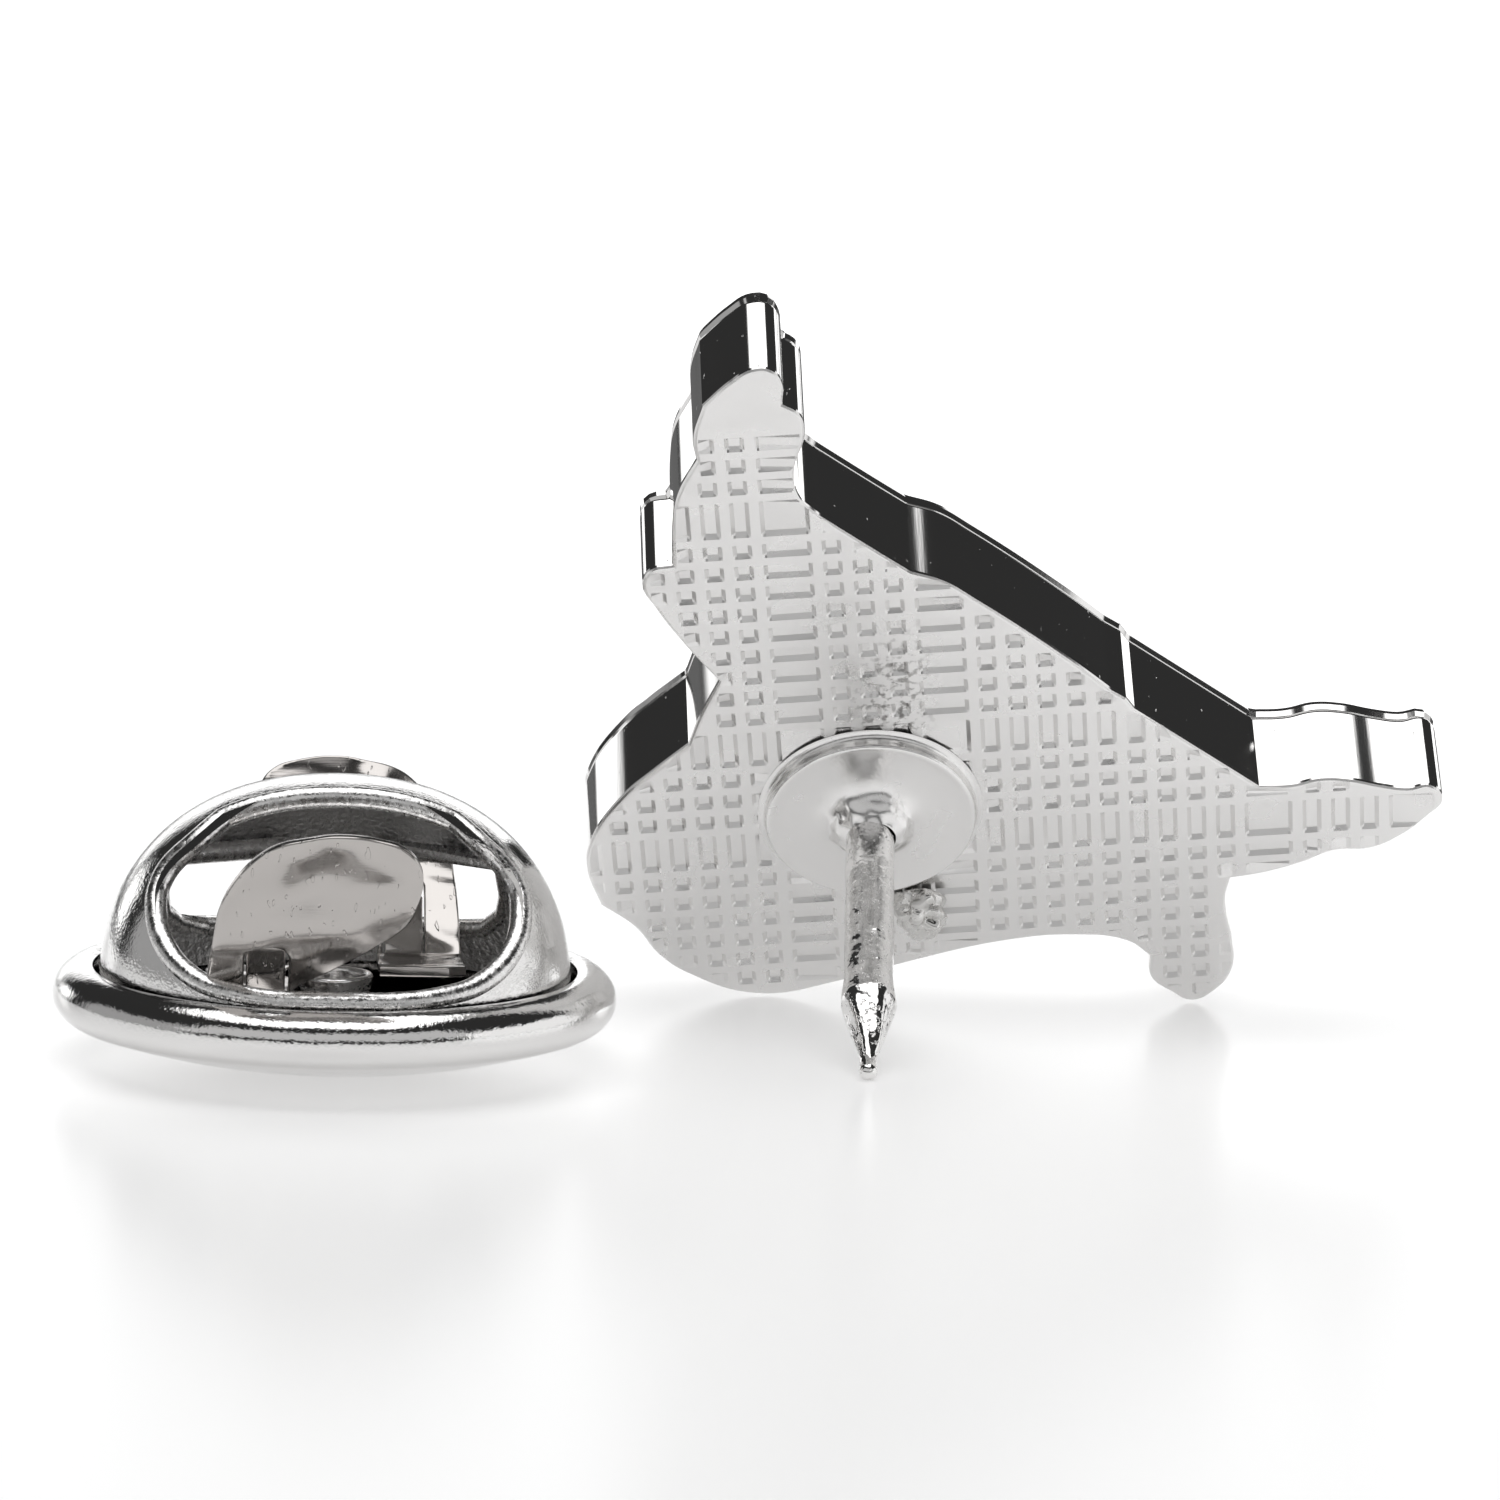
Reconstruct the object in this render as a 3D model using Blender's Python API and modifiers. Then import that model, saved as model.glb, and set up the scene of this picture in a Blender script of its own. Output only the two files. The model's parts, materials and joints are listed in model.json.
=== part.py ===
"""Tie tack: a die-struck badge with a nail on its back, and the butterfly clutch that grips the nail.

The two lie side by side on a table at Z = 0, as they are put down. The badge leans on the tip of its
nail and on two points of its lower edge, and the clutch stands on its dish, with its front wing
towards -Y. Metres, +Z up. The origin is on the table, under the middle of the box round the whole.
"""

import math

import bmesh
import bpy
from mathutils import Matrix, Vector

MM = 0.001

# Clearances
SEAT_GAP = 0.04 * MM  # between pieces that are pressed or soldered together
RUNNING_GAP = 0.08 * MM  # between the nail and the hole in its pad
CURL_GAP = 0.06 * MM  # between the dome's foot and the rolled rim that holds it

# Badge
BADGE_WIDTH = 18.3 * MM
BADGE_HEIGHT = 18.45 * MM
BADGE_THICKNESS = 2.5 * MM
BORDER_WIDTH = 0.42 * MM  # raised border round the front
FIELD_DEPTH = 0.35 * MM  # how far the front's field lies below the border
FIELD_DRAFT = 0.06 * MM  # how far the border's inner wall slopes in

# Nail and the pad at its root
NAIL_LENGTH = 7.87 * MM  # from the badge's back to the tip
NAIL_RADIUS = 0.52 * MM
NAIL_SHOULDER_RADIUS = NAIL_RADIUS * 1.135  # where the point starts
NAIL_POINT_LENGTH = 2.1 * MM
NAIL_TIP_RADIUS = 0.2 * MM
NAIL_LEAN = math.radians(2.7)  # the nail is soldered a little out of square
PAD_RADIUS = 2.25 * MM
PAD_THICKNESS = 0.3 * MM
COLLAR_RADIUS = NAIL_RADIUS + 0.3 * MM
COLLAR_HEIGHT = 0.4 * MM  # above the pad
COLLAR_FOOT = 0.38 * MM  # how far the collar's fillet spreads on the pad
BEAD_SIZE = (0.92 * MM, 1.25 * MM, 0.6 * MM)  # solder bead: across, along the pad's radius, proud
BEAD_DIRECTION = math.radians(-66)  # where it sits round the pad, from the badge's right
BEAD_GAP = 0.2 * MM  # from the pad's edge

# Clutch: eyelet round the nail's way in
EYELET_BORE_RADIUS = 0.64 * MM
EYELET_WALL = 0.16 * MM
EYELET_FLANGE_RADIUS = EYELET_BORE_RADIUS + 0.61 * MM
EYELET_TOP = 1.9 * MM  # above the table

# Clutch: dish with a rolled rim
DISH_RADIUS = 5.88 * MM
DISH_WALL = 0.28 * MM
RIM_HEIGHT = 1.45 * MM  # middle of the rolled rim above the table
CURL_RADIUS = 0.6 * MM
CURL_END = math.radians(112)  # where the roll stops, measured up from the outermost point
DISH_HOLE_RADIUS = EYELET_BORE_RADIUS + EYELET_WALL + CURL_GAP

# Clutch: dome
FOOT_WIDTH = 0.35 * MM  # from the dome's side to the middle of the roll
DOME_RADIUS = DISH_RADIUS - CURL_RADIUS - FOOT_WIDTH
DOME_HEIGHT = 4.56 * MM  # above the middle of the rolled rim
DOME_WALL = 0.33 * MM
DOME_SQUARENESS = 2.25  # exponent of the dome's superellipse; 2 is an ellipse
FRONT_WINDOW_WIDTH = DOME_RADIUS * 1.52
FRONT_WINDOW_SILL = 0.68 * MM  # above the middle of the rolled rim, as the next sizes are
FRONT_WINDOW_TOP = DOME_HEIGHT + 0.28 * MM
REAR_WINDOW_WIDTH = DOME_RADIUS * 1.5
REAR_WINDOW_SILL = 0.7 * MM
REAR_WINDOW_TOP = DOME_HEIGHT * 0.55
REAR_WINDOW_CORNER = 0.6 * MM
WINDOW_START = 1.06 * MM  # the crown between the windows is twice this wide

# Clutch: spring wings
WING_THICKNESS = 0.22 * MM
WING_INSET = 2.33 * MM  # from the dome's side to the bend that the wing rocks on
WING_HINGE_OFFSET = DOME_RADIUS - WING_INSET
WING_HINGE_HEIGHT = 0.26 * MM  # above the middle of the rolled rim
WING_WIDTH = 4.33 * MM
WING_LENGTH = 5.4 * MM  # along the sheet, from the bend to the paddle's edge
JAW_OVERLAP = 0.75 * MM  # how far the base plate runs past the clutch's axis
JAW_LENGTH = WING_HINGE_OFFSET + JAW_OVERLAP
WING_ROOT_LEAN = math.radians(60)  # from upright, just past the bend
WING_TIP_LEAN = math.radians(12)
FRONT_WING_OPEN = math.radians(1.5)  # the two don't stand quite alike
REAR_WING_OPEN = math.radians(6)
BEND_LENGTH = 0.2 * MM
ARCH_WIDTH = 0.91 * MM
ARCH_HEIGHT = 2.7 * MM
ARCH_CENTRE = -1.495 * MM
TAB_WIDTH = 0.8 * MM
TAB_LENGTH = 1.6 * MM
TAB_BEND_LENGTH = 0.35 * MM
TAB_LEAN = math.radians(20)
JAW_NOTCH_RADIUS = EYELET_BORE_RADIUS + EYELET_WALL + 0.28 * MM

# How the two lie
REST_YAW = math.radians(3.5)  # the badge's lower edge, from +X
CLUTCH_FROM_TIP = (-11.16 * MM, 0.63 * MM)  # the clutch's axis from the nail's tip
CLUTCH_YAW = math.radians(4)

BADGE_STEPS = 2  # sides to each span of its outline
INSET_TRUTH = 0.97  # least share of an inset's width that a kept point is from the outline
TURNED_STEPS = 48
TANGENT_ROUNDS = 8  # enough for the table's slope to settle against the nail's round tip
SMOOTH, CORNER = "AUTO", "VECTOR"

# Outline of the badge seen from its back, in millimetres from the nail, anticlockwise from the head.
OUTLINE = [
    (-2.05, 10.9, SMOOTH),
    (-2.2, 11.45, SMOOTH),
    (-2.55, 11.7, CORNER),
    (-2.6, 12.3, SMOOTH),
    (-2.85, 12.64, SMOOTH),
    (-3.25, 12.64, SMOOTH),
    (-3.65, 12.3, SMOOTH),
    (-4.2, 11.6, CORNER),
    (-4.35, 10.7, SMOOTH),
    (-4.25, 10.1, CORNER),
    (-4.6, 9.1, SMOOTH),
    (-4.65, 8.3, SMOOTH),
    (-4.6, 7.1, CORNER),
    (-5.05, 6.95, SMOOTH),
    (-5.2, 6.5, SMOOTH),
    (-4.9, 5.85, SMOOTH),
    (-4.2, 4.75, SMOOTH),
    (-3.45, 3.75, CORNER),
    (-3.8, 2.7, SMOOTH),
    (-4.0, 1.85, CORNER),
    (-4.7, 1.05, SMOOTH),
    (-5.3, 0.3, SMOOTH),
    (-5.95, -1.1, SMOOTH),
    (-6.0, -2.0, SMOOTH),
    (-5.65, -3.1, CORNER),
    (-4.9, -3.75, SMOOTH),
    (-4.3, -4.65, SMOOTH),
    (-3.65, -5.2, SMOOTH),
    (-2.1, -5.8, SMOOTH),
    (-0.3, -5.35, SMOOTH),
    (1.2, -4.7, SMOOTH),
    (3.25, -4.0, SMOOTH),
    (4.6, -3.8, SMOOTH),
    (5.85, -3.95, SMOOTH),
    (6.4, -4.4, CORNER),
    (6.5, -5.1, SMOOTH),
    (7.0, -5.55, SMOOTH),
    (7.45, -5.8, SMOOTH),
    (7.95, -5.45, SMOOTH),
    (8.25, -4.8, SMOOTH),
    (8.15, -3.8, SMOOTH),
    (7.9, -2.6, SMOOTH),
    (7.95, -1.95, CORNER),
    (8.7, -1.75, SMOOTH),
    (9.5, -1.4, SMOOTH),
    (10.1, -1.05, SMOOTH),
    (10.9, -0.95, SMOOTH),
    (11.45, -0.6, SMOOTH),
    (12.05, 0.1, SMOOTH),
    (12.3, 0.55, SMOOTH),
    (12.0, 1.0, SMOOTH),
    (11.5, 0.9, SMOOTH),
    (10.95, 0.9, SMOOTH),
    (10.2, 1.2, SMOOTH),
    (9.6, 1.15, SMOOTH),
    (9.0, 0.95, SMOOTH),
    (8.3, 0.9, CORNER),
    (5.5, 3.1, SMOOTH),
    (4.0, 4.5, SMOOTH),
    (1.8, 6.3, SMOOTH),
    (1.1, 6.8, SMOOTH),
    (0.4, 7.05, CORNER),
    (-0.45, 7.7, SMOOTH),
    (-1.6, 8.6, CORNER),
    (-2.05, 9.1, SMOOTH),
    (-2.2, 9.85, SMOOTH),
]

# Upstanding part of a wing's blank, as shares of its width (from its left edge) and of its length
# (from the bend): up the right side of the stalk, round the paddle and down the left side.
PADDLE = [
    (0.41, 0.2, SMOOTH),
    (0.58, 0.345, SMOOTH),
    (0.765, 0.48, SMOOTH),
    (0.93, 0.615, SMOOTH),
    (0.975, 0.72, SMOOTH),
    (1.0, 0.81, SMOOTH),
    (0.985, 0.88, SMOOTH),
    (0.92, 0.947, SMOOTH),
    (0.8, 0.983, SMOOTH),
    (0.59, 1.0, SMOOTH),
    (0.46, 0.983, SMOOTH),
    (0.315, 0.953, SMOOTH),
    (0.23, 0.907, SMOOTH),
    (0.12, 0.796, SMOOTH),
    (0.06, 0.687, SMOOTH),
    (0.034, 0.578, SMOOTH),
    (0.012, 0.4, SMOOTH),
    (0.0, 0.18, SMOOTH),
]
WING_LEFT = -2.71 * MM  # the paddle's left edge from the clutch's axis
STALK_WIDTH = 1.8 * MM


def clear_scene():
    for obj in list(bpy.data.objects):
        bpy.data.objects.remove(obj, do_unlink=True)
    for collection in list(bpy.data.collections):
        bpy.data.collections.remove(collection)


def new_collection(name, hidden=False):
    collection = bpy.data.collections.new(name)
    collection.hide_render = hidden
    bpy.context.scene.collection.children.link(collection)
    return collection


def metal(name, colour, roughness):
    material = bpy.data.materials.new(name)
    material.use_nodes = True
    shader = material.node_tree.nodes["Principled BSDF"]
    shader.inputs["Base Color"].default_value = (*colour, 1)
    shader.inputs["Metallic"].default_value = 1
    shader.inputs["Roughness"].default_value = roughness
    return material


def place(obj, parent, material):
    parts.objects.link(obj)
    obj.parent = parent
    obj.data.materials.append(material)
    return obj


def round_shading(obj):
    obj.data.shade_smooth()
    obj.data.set_sharp_from_angle(angle=math.radians(35))


def turned(name, profile, parent, material, location=(0, 0, 0), rotation=(0, 0, 0)):
    """A closed profile, or one that ends on the axis, turned about Z."""
    mesh = bpy.data.meshes.new(name)
    count = len(profile)
    edges = [(i, i + 1) for i in range(count - 1)]
    if profile[0][0] > 0:
        edges.append((count - 1, 0))
    mesh.from_pydata([(radius, 0, height) for radius, height in profile], edges, [])
    obj = place(bpy.data.objects.new(name, mesh), parent, material)
    obj.location = location
    obj.rotation_euler = rotation
    screw = obj.modifiers.new("Turn", "SCREW")
    screw.steps = screw.render_steps = TURNED_STEPS
    screw.use_merge_vertices = True
    screw.merge_threshold = 1e-7
    screw.use_smooth_shade = True
    return obj


def curve_mesh(name, outlines, thickness, resolution):
    """Flat outlines as a mesh: filled and made solid or, with no thickness, as loops of edges."""
    curve = bpy.data.curves.new(name, "CURVE")
    curve.dimensions = "2D"
    curve.fill_mode = "BOTH" if thickness else "NONE"
    curve.extrude = thickness / 2
    curve.resolution_u = resolution
    for outline in outlines:
        spline = curve.splines.new("BEZIER")
        spline.bezier_points.add(len(outline) - 1)
        spline.use_cyclic_u = True
        for point, (x, y, handle) in zip(spline.bezier_points, outline):
            point.co = (x, y, 0)
            point.handle_left_type = point.handle_right_type = handle
    guide = bpy.data.objects.new(name + "_guide", curve)
    cutters.objects.link(guide)
    bpy.context.view_layer.update()
    graph = bpy.context.evaluated_depsgraph_get()
    mesh = bpy.data.meshes.new_from_object(guide.evaluated_get(graph))
    bpy.data.objects.remove(guide)
    mesh.name = name
    return mesh


def outline_mesh(name, outlines, thickness, resolution=3):
    """A solid mesh of flat outlines, the first one outside and the others holes in it."""
    mesh = curve_mesh(name, outlines, thickness, resolution)
    shape = bmesh.new()
    shape.from_mesh(mesh)
    bmesh.ops.remove_doubles(shape, verts=shape.verts, dist=1e-7)
    bmesh.ops.recalc_face_normals(shape, faces=shape.faces)
    shape.to_mesh(mesh)
    shape.free()
    return mesh


def cut(obj, cutter, operation="DIFFERENCE"):
    boolean = obj.modifiers.new(cutter.name, "BOOLEAN")
    boolean.operation = operation
    boolean.solver = "EXACT"
    boolean.object = cutter
    return boolean


def helper(name, mesh, parent):
    obj = bpy.data.objects.new(name, mesh)
    cutters.objects.link(obj)
    obj.parent = parent
    obj.hide_render = True
    obj.display_type = "WIRE"
    return obj


def arc(centre, radius, start, end, steps):
    """Points on an arc, from start to end, both included."""
    angles = [start + (end - start) * i / steps for i in range(steps + 1)]
    return [(centre[0] + radius * math.cos(a), centre[1] + radius * math.sin(a)) for a in angles]


# Badge


def badge_outline():
    """The outline at the badge's size, in metres from the nail."""
    across = [u for u, _, _ in OUTLINE]
    along = [v for _, v, _ in OUTLINE]
    wide = BADGE_WIDTH / (max(across) - min(across))
    high = BADGE_HEIGHT / (max(along) - min(along))
    return [(u * wide, v * high, handle) for u, v, handle in OUTLINE]


def gap_to_loop(point, loop):
    """How far a point is from a closed loop of points."""
    gaps = []
    for start, end in zip(loop, loop[1:] + loop[:1]):
        line = end - start
        share = min(1, max(0, (point - start).dot(line) / line.length_squared))
        gaps.append((start + line * share - point).length)
    return min(gaps)


def inset_loops(loop, widths):
    """An anticlockwise loop moved in by each width, less the points that cross over in a tight corner."""
    widest = max(widths)
    insets = [[] for _ in widths]
    for before, here, after in zip(loop[-1:] + loop[:-1], loop, loop[1:] + loop[:1]):
        along = (after - before).normalized()
        inward = Vector((-along.y, along.x))
        if gap_to_loop(here + inward * widest, loop) > widest * INSET_TRUTH:
            for inset, width in zip(insets, widths):
                inset.append(here + inward * width)
    return insets


def make_field_cutter(parent):
    """What the die leaves out of the front, inside its border: wider at the mouth than at the field."""
    loop = [vert.co.xy for vert in curve_mesh("badge_loop", [badge_outline()], 0, BADGE_STEPS).vertices]
    proud = FIELD_DEPTH / 2
    mouth_width = BORDER_WIDTH - proud * FIELD_DRAFT / FIELD_DEPTH
    mouth, field = inset_loops(loop, (mouth_width, BORDER_WIDTH + FIELD_DRAFT))
    points = [(x, y, -BADGE_THICKNESS - proud) for x, y in mouth]
    points += [(x, y, FIELD_DEPTH - BADGE_THICKNESS) for x, y in field]
    count = len(mouth)
    faces = [range(count), range(count, 2 * count)]
    for i in range(count):
        follows = (i + 1) % count
        faces.append((i, follows, count + follows, count + i))
    mesh = bpy.data.meshes.new("badge_field")
    mesh.from_pydata(points, [], faces)
    shape = bmesh.new()
    shape.from_mesh(mesh)
    bmesh.ops.triangulate(shape, faces=shape.faces)
    bmesh.ops.recalc_face_normals(shape, faces=shape.faces)
    shape.to_mesh(mesh)
    shape.free()
    return helper("badge_field", mesh, parent)


def make_badge(parent):
    """The struck blank: its back is the plane z = 0, and its front has a field inside a raised border."""
    mesh = outline_mesh("badge", [badge_outline()], BADGE_THICKNESS, BADGE_STEPS)
    mesh.transform(Matrix.Translation((0, 0, -BADGE_THICKNESS / 2)))
    obj = place(bpy.data.objects.new("badge", mesh), parent, plated_badge)
    cut(obj, make_field_cutter(parent))
    return obj


def make_post_pad(parent):
    """The pad with the collar that the nail stands in."""
    hole = NAIL_RADIUS + RUNNING_GAP
    bottom = SEAT_GAP
    top = bottom + PAD_THICKNESS
    rise = top + COLLAR_HEIGHT
    edge = PAD_THICKNESS / 3
    fillet = arc((COLLAR_RADIUS + COLLAR_FOOT, rise), COLLAR_FOOT, math.radians(180), math.radians(270), 4)
    fillet = [(r, top + (z - rise + COLLAR_FOOT) * COLLAR_HEIGHT / COLLAR_FOOT) for r, z in fillet]
    profile = [(hole, rise - edge), (hole + edge, rise), (COLLAR_RADIUS - edge, rise)]
    profile += fillet
    profile += [(PAD_RADIUS - edge, top), (PAD_RADIUS, top - edge), (PAD_RADIUS, bottom), (hole, bottom)]
    return turned("post_pad", profile, parent, plated_post)


def make_post(parent):
    """The nail: a shaft, a slight shoulder and a blunt point."""
    length = NAIL_LENGTH
    tip = NAIL_TIP_RADIUS
    point = length - NAIL_POINT_LENGTH
    profile = [
        (0, length),
        (tip * 0.55, length - tip * 0.15),
        (tip * 0.9, length - tip * 0.6),
        (tip, length - tip * 1.4),
        (tip, length - tip * 3),
        (tip * 1.25, length - tip * 3.9),
        (NAIL_SHOULDER_RADIUS, point),
        (NAIL_SHOULDER_RADIUS, point - NAIL_TIP_RADIUS),
        (NAIL_RADIUS, point - NAIL_SHOULDER_RADIUS * 2),
        (NAIL_RADIUS, SEAT_GAP),
        (0, SEAT_GAP),
    ]
    return turned("post", profile, parent, plated_post, rotation=(0, -NAIL_LEAN, 0))


def make_solder_bead(parent):
    """A bead of solder that ran out from under the pad, flat where it lies on the badge."""
    across, along, proud = BEAD_SIZE
    shape = bmesh.new()
    bmesh.ops.create_icosphere(shape, subdivisions=2, radius=1)
    floor = -0.35
    bmesh.ops.bisect_plane(
        shape,
        geom=shape.verts[:] + shape.edges[:] + shape.faces[:],
        plane_co=(0, 0, floor),
        plane_no=(0, 0, -1),
        clear_outer=True,
    )
    bmesh.ops.holes_fill(shape, edges=[edge for edge in shape.edges if edge.is_boundary])
    bmesh.ops.translate(shape, verts=shape.verts, vec=(0, 0, -floor))
    bmesh.ops.scale(shape, verts=shape.verts, vec=(along / 2, across / 2, proud / (1 - floor)))
    mesh = bpy.data.meshes.new("solder_bead")
    bmesh.ops.recalc_face_normals(shape, faces=shape.faces)
    shape.to_mesh(mesh)
    shape.free()
    obj = place(bpy.data.objects.new("solder_bead", mesh), parent, solder)
    distance = PAD_RADIUS + BEAD_GAP + along / 2
    obj.location = (distance * math.cos(BEAD_DIRECTION), distance * math.sin(BEAD_DIRECTION), SEAT_GAP)
    obj.rotation_euler = (0, 0, BEAD_DIRECTION)
    round_shading(obj)
    return obj


# Clutch


def bowl_radius():
    """Radius of the dish's round underside, which meets the rolled rim in a tangent."""
    reach = DISH_RADIUS - CURL_RADIUS
    return (reach**2 + RIM_HEIGHT**2 - CURL_RADIUS**2) / (2 * (RIM_HEIGHT - CURL_RADIUS))


def bowl_height(radius, inside=False):
    """Height of the bowl's lower surface, or of its upper one, at this distance from the axis."""
    bowl = bowl_radius()
    sphere = bowl - DISH_WALL if inside else bowl
    return bowl - math.sqrt(sphere**2 - radius**2)


def bowl_points(start, end, steps, inside=False):
    radii = [start + (end - start) * i / steps for i in range(steps + 1)]
    return [(radius, bowl_height(radius, inside)) for radius in radii]


def make_clutch_dish(parent):
    """A shallow bowl with a hole for the nail, and a rim rolled outwards and over."""
    centre = (DISH_RADIUS - CURL_RADIUS, RIM_HEIGHT)
    meet = math.atan2(RIM_HEIGHT - bowl_radius(), centre[0])
    outer = arc(centre, CURL_RADIUS, CURL_END, meet, 10)
    inner = arc(centre, CURL_RADIUS - DISH_WALL, meet, CURL_END, 7)
    profile = outer + bowl_points(outer[-1][0], DISH_HOLE_RADIUS, 4)[1:]
    profile += bowl_points(DISH_HOLE_RADIUS, inner[0][0], 4, inside=True)[:-1] + inner
    return turned("clutch_dish", profile, parent, plated_clutch)


def dome_points(radius, height, start, end, steps):
    """A superellipse's quarter as (radius, height above the table), with angles from the foot."""
    power = 2 / DOME_SQUARENESS
    angles = [start + (end - start) * i / steps for i in range(steps + 1)]
    return [
        (radius * math.cos(a) ** power, RIM_HEIGHT + height * math.sin(a) ** power) for a in angles
    ]


def dome_angle(value, whole, function):
    """The superellipse angle at which its radius or height is this share of the whole."""
    return function((value / whole) ** (DOME_SQUARENESS / 2))


def make_clutch_dome(parent):
    """The cap: a squarish dome with a foot trapped in the rolled rim, and two windows."""
    flange = (CURL_RADIUS - DISH_WALL - CURL_GAP) * 0.72
    flange_radius = DISH_RADIUS - CURL_RADIUS + flange * 0.5
    outer_foot = dome_angle(flange, DOME_HEIGHT, math.asin)
    profile = [(0, RIM_HEIGHT + DOME_HEIGHT)]
    profile += dome_points(DOME_RADIUS, DOME_HEIGHT, math.radians(84), outer_foot, 12)
    profile += [(flange_radius, RIM_HEIGHT + flange), (flange_radius, RIM_HEIGHT - flange)]
    inner_radius = DOME_RADIUS - DOME_WALL
    inner_height = DOME_HEIGHT - DOME_WALL
    profile.append((inner_radius, RIM_HEIGHT - flange))
    profile += dome_points(inner_radius, inner_height, 0, math.radians(84), 9)
    profile.append((0, RIM_HEIGHT + inner_height))
    dome = turned("clutch_dome", profile, parent, plated_clutch)
    cut(dome, front_window(parent))
    cut(dome, rear_window(parent))
    return dome


def window_cutter(name, outline, parent, side):
    """A punch with this outline, seen from the front, from the crown's edge out to past the rim."""
    depth = DISH_RADIUS
    mesh = outline_mesh(name, [outline], depth, resolution=4)
    punch = helper(name, mesh, parent)
    punch.rotation_euler = (math.radians(90), 0, 0)
    punch.location = (0, side * (WINDOW_START + depth / 2), RIM_HEIGHT)
    return punch


def front_window(parent):
    """An arch: wide and round-cornered at the sill, narrowing to the crown."""
    half = FRONT_WINDOW_WIDTH / 2
    sill = FRONT_WINDOW_SILL
    tall = FRONT_WINDOW_TOP - sill
    right = [
        (0, sill, SMOOTH),
        (half * 0.56, sill + tall * 0.012, SMOOTH),
        (half * 0.78, sill + tall * 0.06, SMOOTH),
        (half * 0.95, sill + tall * 0.19, SMOOTH),
        (half, sill + tall * 0.33, SMOOTH),
        (half * 0.98, sill + tall * 0.46, SMOOTH),
        (half * 0.79, sill + tall * 0.655, SMOOTH),
        (half * 0.41, sill + tall * 0.875, SMOOTH),
        (0, FRONT_WINDOW_TOP, SMOOTH),
    ]
    left = [(-x, z, handle) for x, z, handle in reversed(right[1:-1])]
    return window_cutter("front_window", right + left, parent, -1)


def rear_window(parent):
    """A low slot with round lower corners and a straight top edge."""
    half = REAR_WINDOW_WIDTH / 2
    corner = REAR_WINDOW_CORNER
    right = [
        (x, z, CORNER)
        for x, z in arc((half - corner, REAR_WINDOW_SILL + corner), corner, -math.pi / 2, 0, 5)
    ]
    right.append((half * 0.93, REAR_WINDOW_TOP, CORNER))
    left = [(-x, z, handle) for x, z, handle in reversed(right)]
    return window_cutter("rear_window", right + left, parent, 1)


def make_guide_eyelet(parent):
    """The eyelet in the middle of the dish that guides the nail up between the jaws."""
    outside = EYELET_BORE_RADIUS + EYELET_WALL
    seat = bowl_height(EYELET_FLANGE_RADIUS, inside=True) + SEAT_GAP
    lip = EYELET_WALL / 2
    profile = [
        (EYELET_BORE_RADIUS, EYELET_TOP),
        (outside - lip, EYELET_TOP),
        (outside, EYELET_TOP - lip),
        (outside, seat + EYELET_WALL),
        (EYELET_FLANGE_RADIUS, seat + EYELET_WALL),
        (EYELET_FLANGE_RADIUS, seat),
        (outside, seat),
        (outside, SEAT_GAP),
        (EYELET_BORE_RADIUS, SEAT_GAP),
    ]
    return turned("guide_eyelet", profile, parent, plated_clutch)


def wing_blank():
    """The flat blank: base plate with its jaw notch below the bend, stalk and paddle above it."""
    right = WING_LEFT + STALK_WIDTH
    centre = -WING_HINGE_OFFSET
    half_notch = math.acos(min(1, -right / JAW_NOTCH_RADIUS))
    notch = arc((0, centre), JAW_NOTCH_RADIUS, math.pi + half_notch, math.pi - half_notch, 6)
    corner = STALK_WIDTH / 5
    blank = [(WING_LEFT, -JAW_LENGTH + corner, CORNER), (WING_LEFT + corner, -JAW_LENGTH, CORNER)]
    blank.append((right, -JAW_LENGTH, CORNER))
    blank += [(x, s, CORNER) for x, s in notch if s > -JAW_LENGTH]
    blank.append((right, 0, SMOOTH))
    blank += [(WING_LEFT + x * WING_WIDTH, s * WING_LENGTH, handle) for x, s, handle in PADDLE]
    return blank


def arch_hole():
    """The arch cut from the stalk's foot."""
    half = ARCH_WIDTH / 2
    top = arc((ARCH_CENTRE, ARCH_HEIGHT - half), half, 0, math.pi, 8)
    foot = BEND_LENGTH
    hole = [(ARCH_CENTRE - half, foot), (ARCH_CENTRE + half, foot)] + top
    return [(x, s, CORNER) for x, s in hole]


def tab_blank():
    """The tongue left standing when the arch was cut."""
    half = TAB_WIDTH / 2
    corner = half / 4
    points = [
        (ARCH_CENTRE - half, -2 * BEND_LENGTH),
        (ARCH_CENTRE + half, -2 * BEND_LENGTH),
        (ARCH_CENTRE + half, TAB_LENGTH - corner),
        (ARCH_CENTRE + half - corner, TAB_LENGTH),
        (ARCH_CENTRE - half + corner, TAB_LENGTH),
        (ARCH_CENTRE - half, TAB_LENGTH - corner),
    ]
    return [(x, s, CORNER) for x, s in points]


def wing_lean(s):
    """The sheet's lean from upright at s along it: flat on the base plate, then bent up."""
    if s <= 0:
        return math.pi / 2
    if s < BEND_LENGTH:
        return math.pi / 2 + (WING_ROOT_LEAN - math.pi / 2) * s / BEND_LENGTH
    return WING_ROOT_LEAN + (WING_TIP_LEAN - WING_ROOT_LEAN) * (s - BEND_LENGTH) / (WING_LENGTH - BEND_LENGTH)


def tab_lean(s):
    if s <= 0:
        return math.pi / 2
    return math.pi / 2 + (TAB_LEAN - math.pi / 2) * min(1, s / TAB_BEND_LENGTH)


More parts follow.
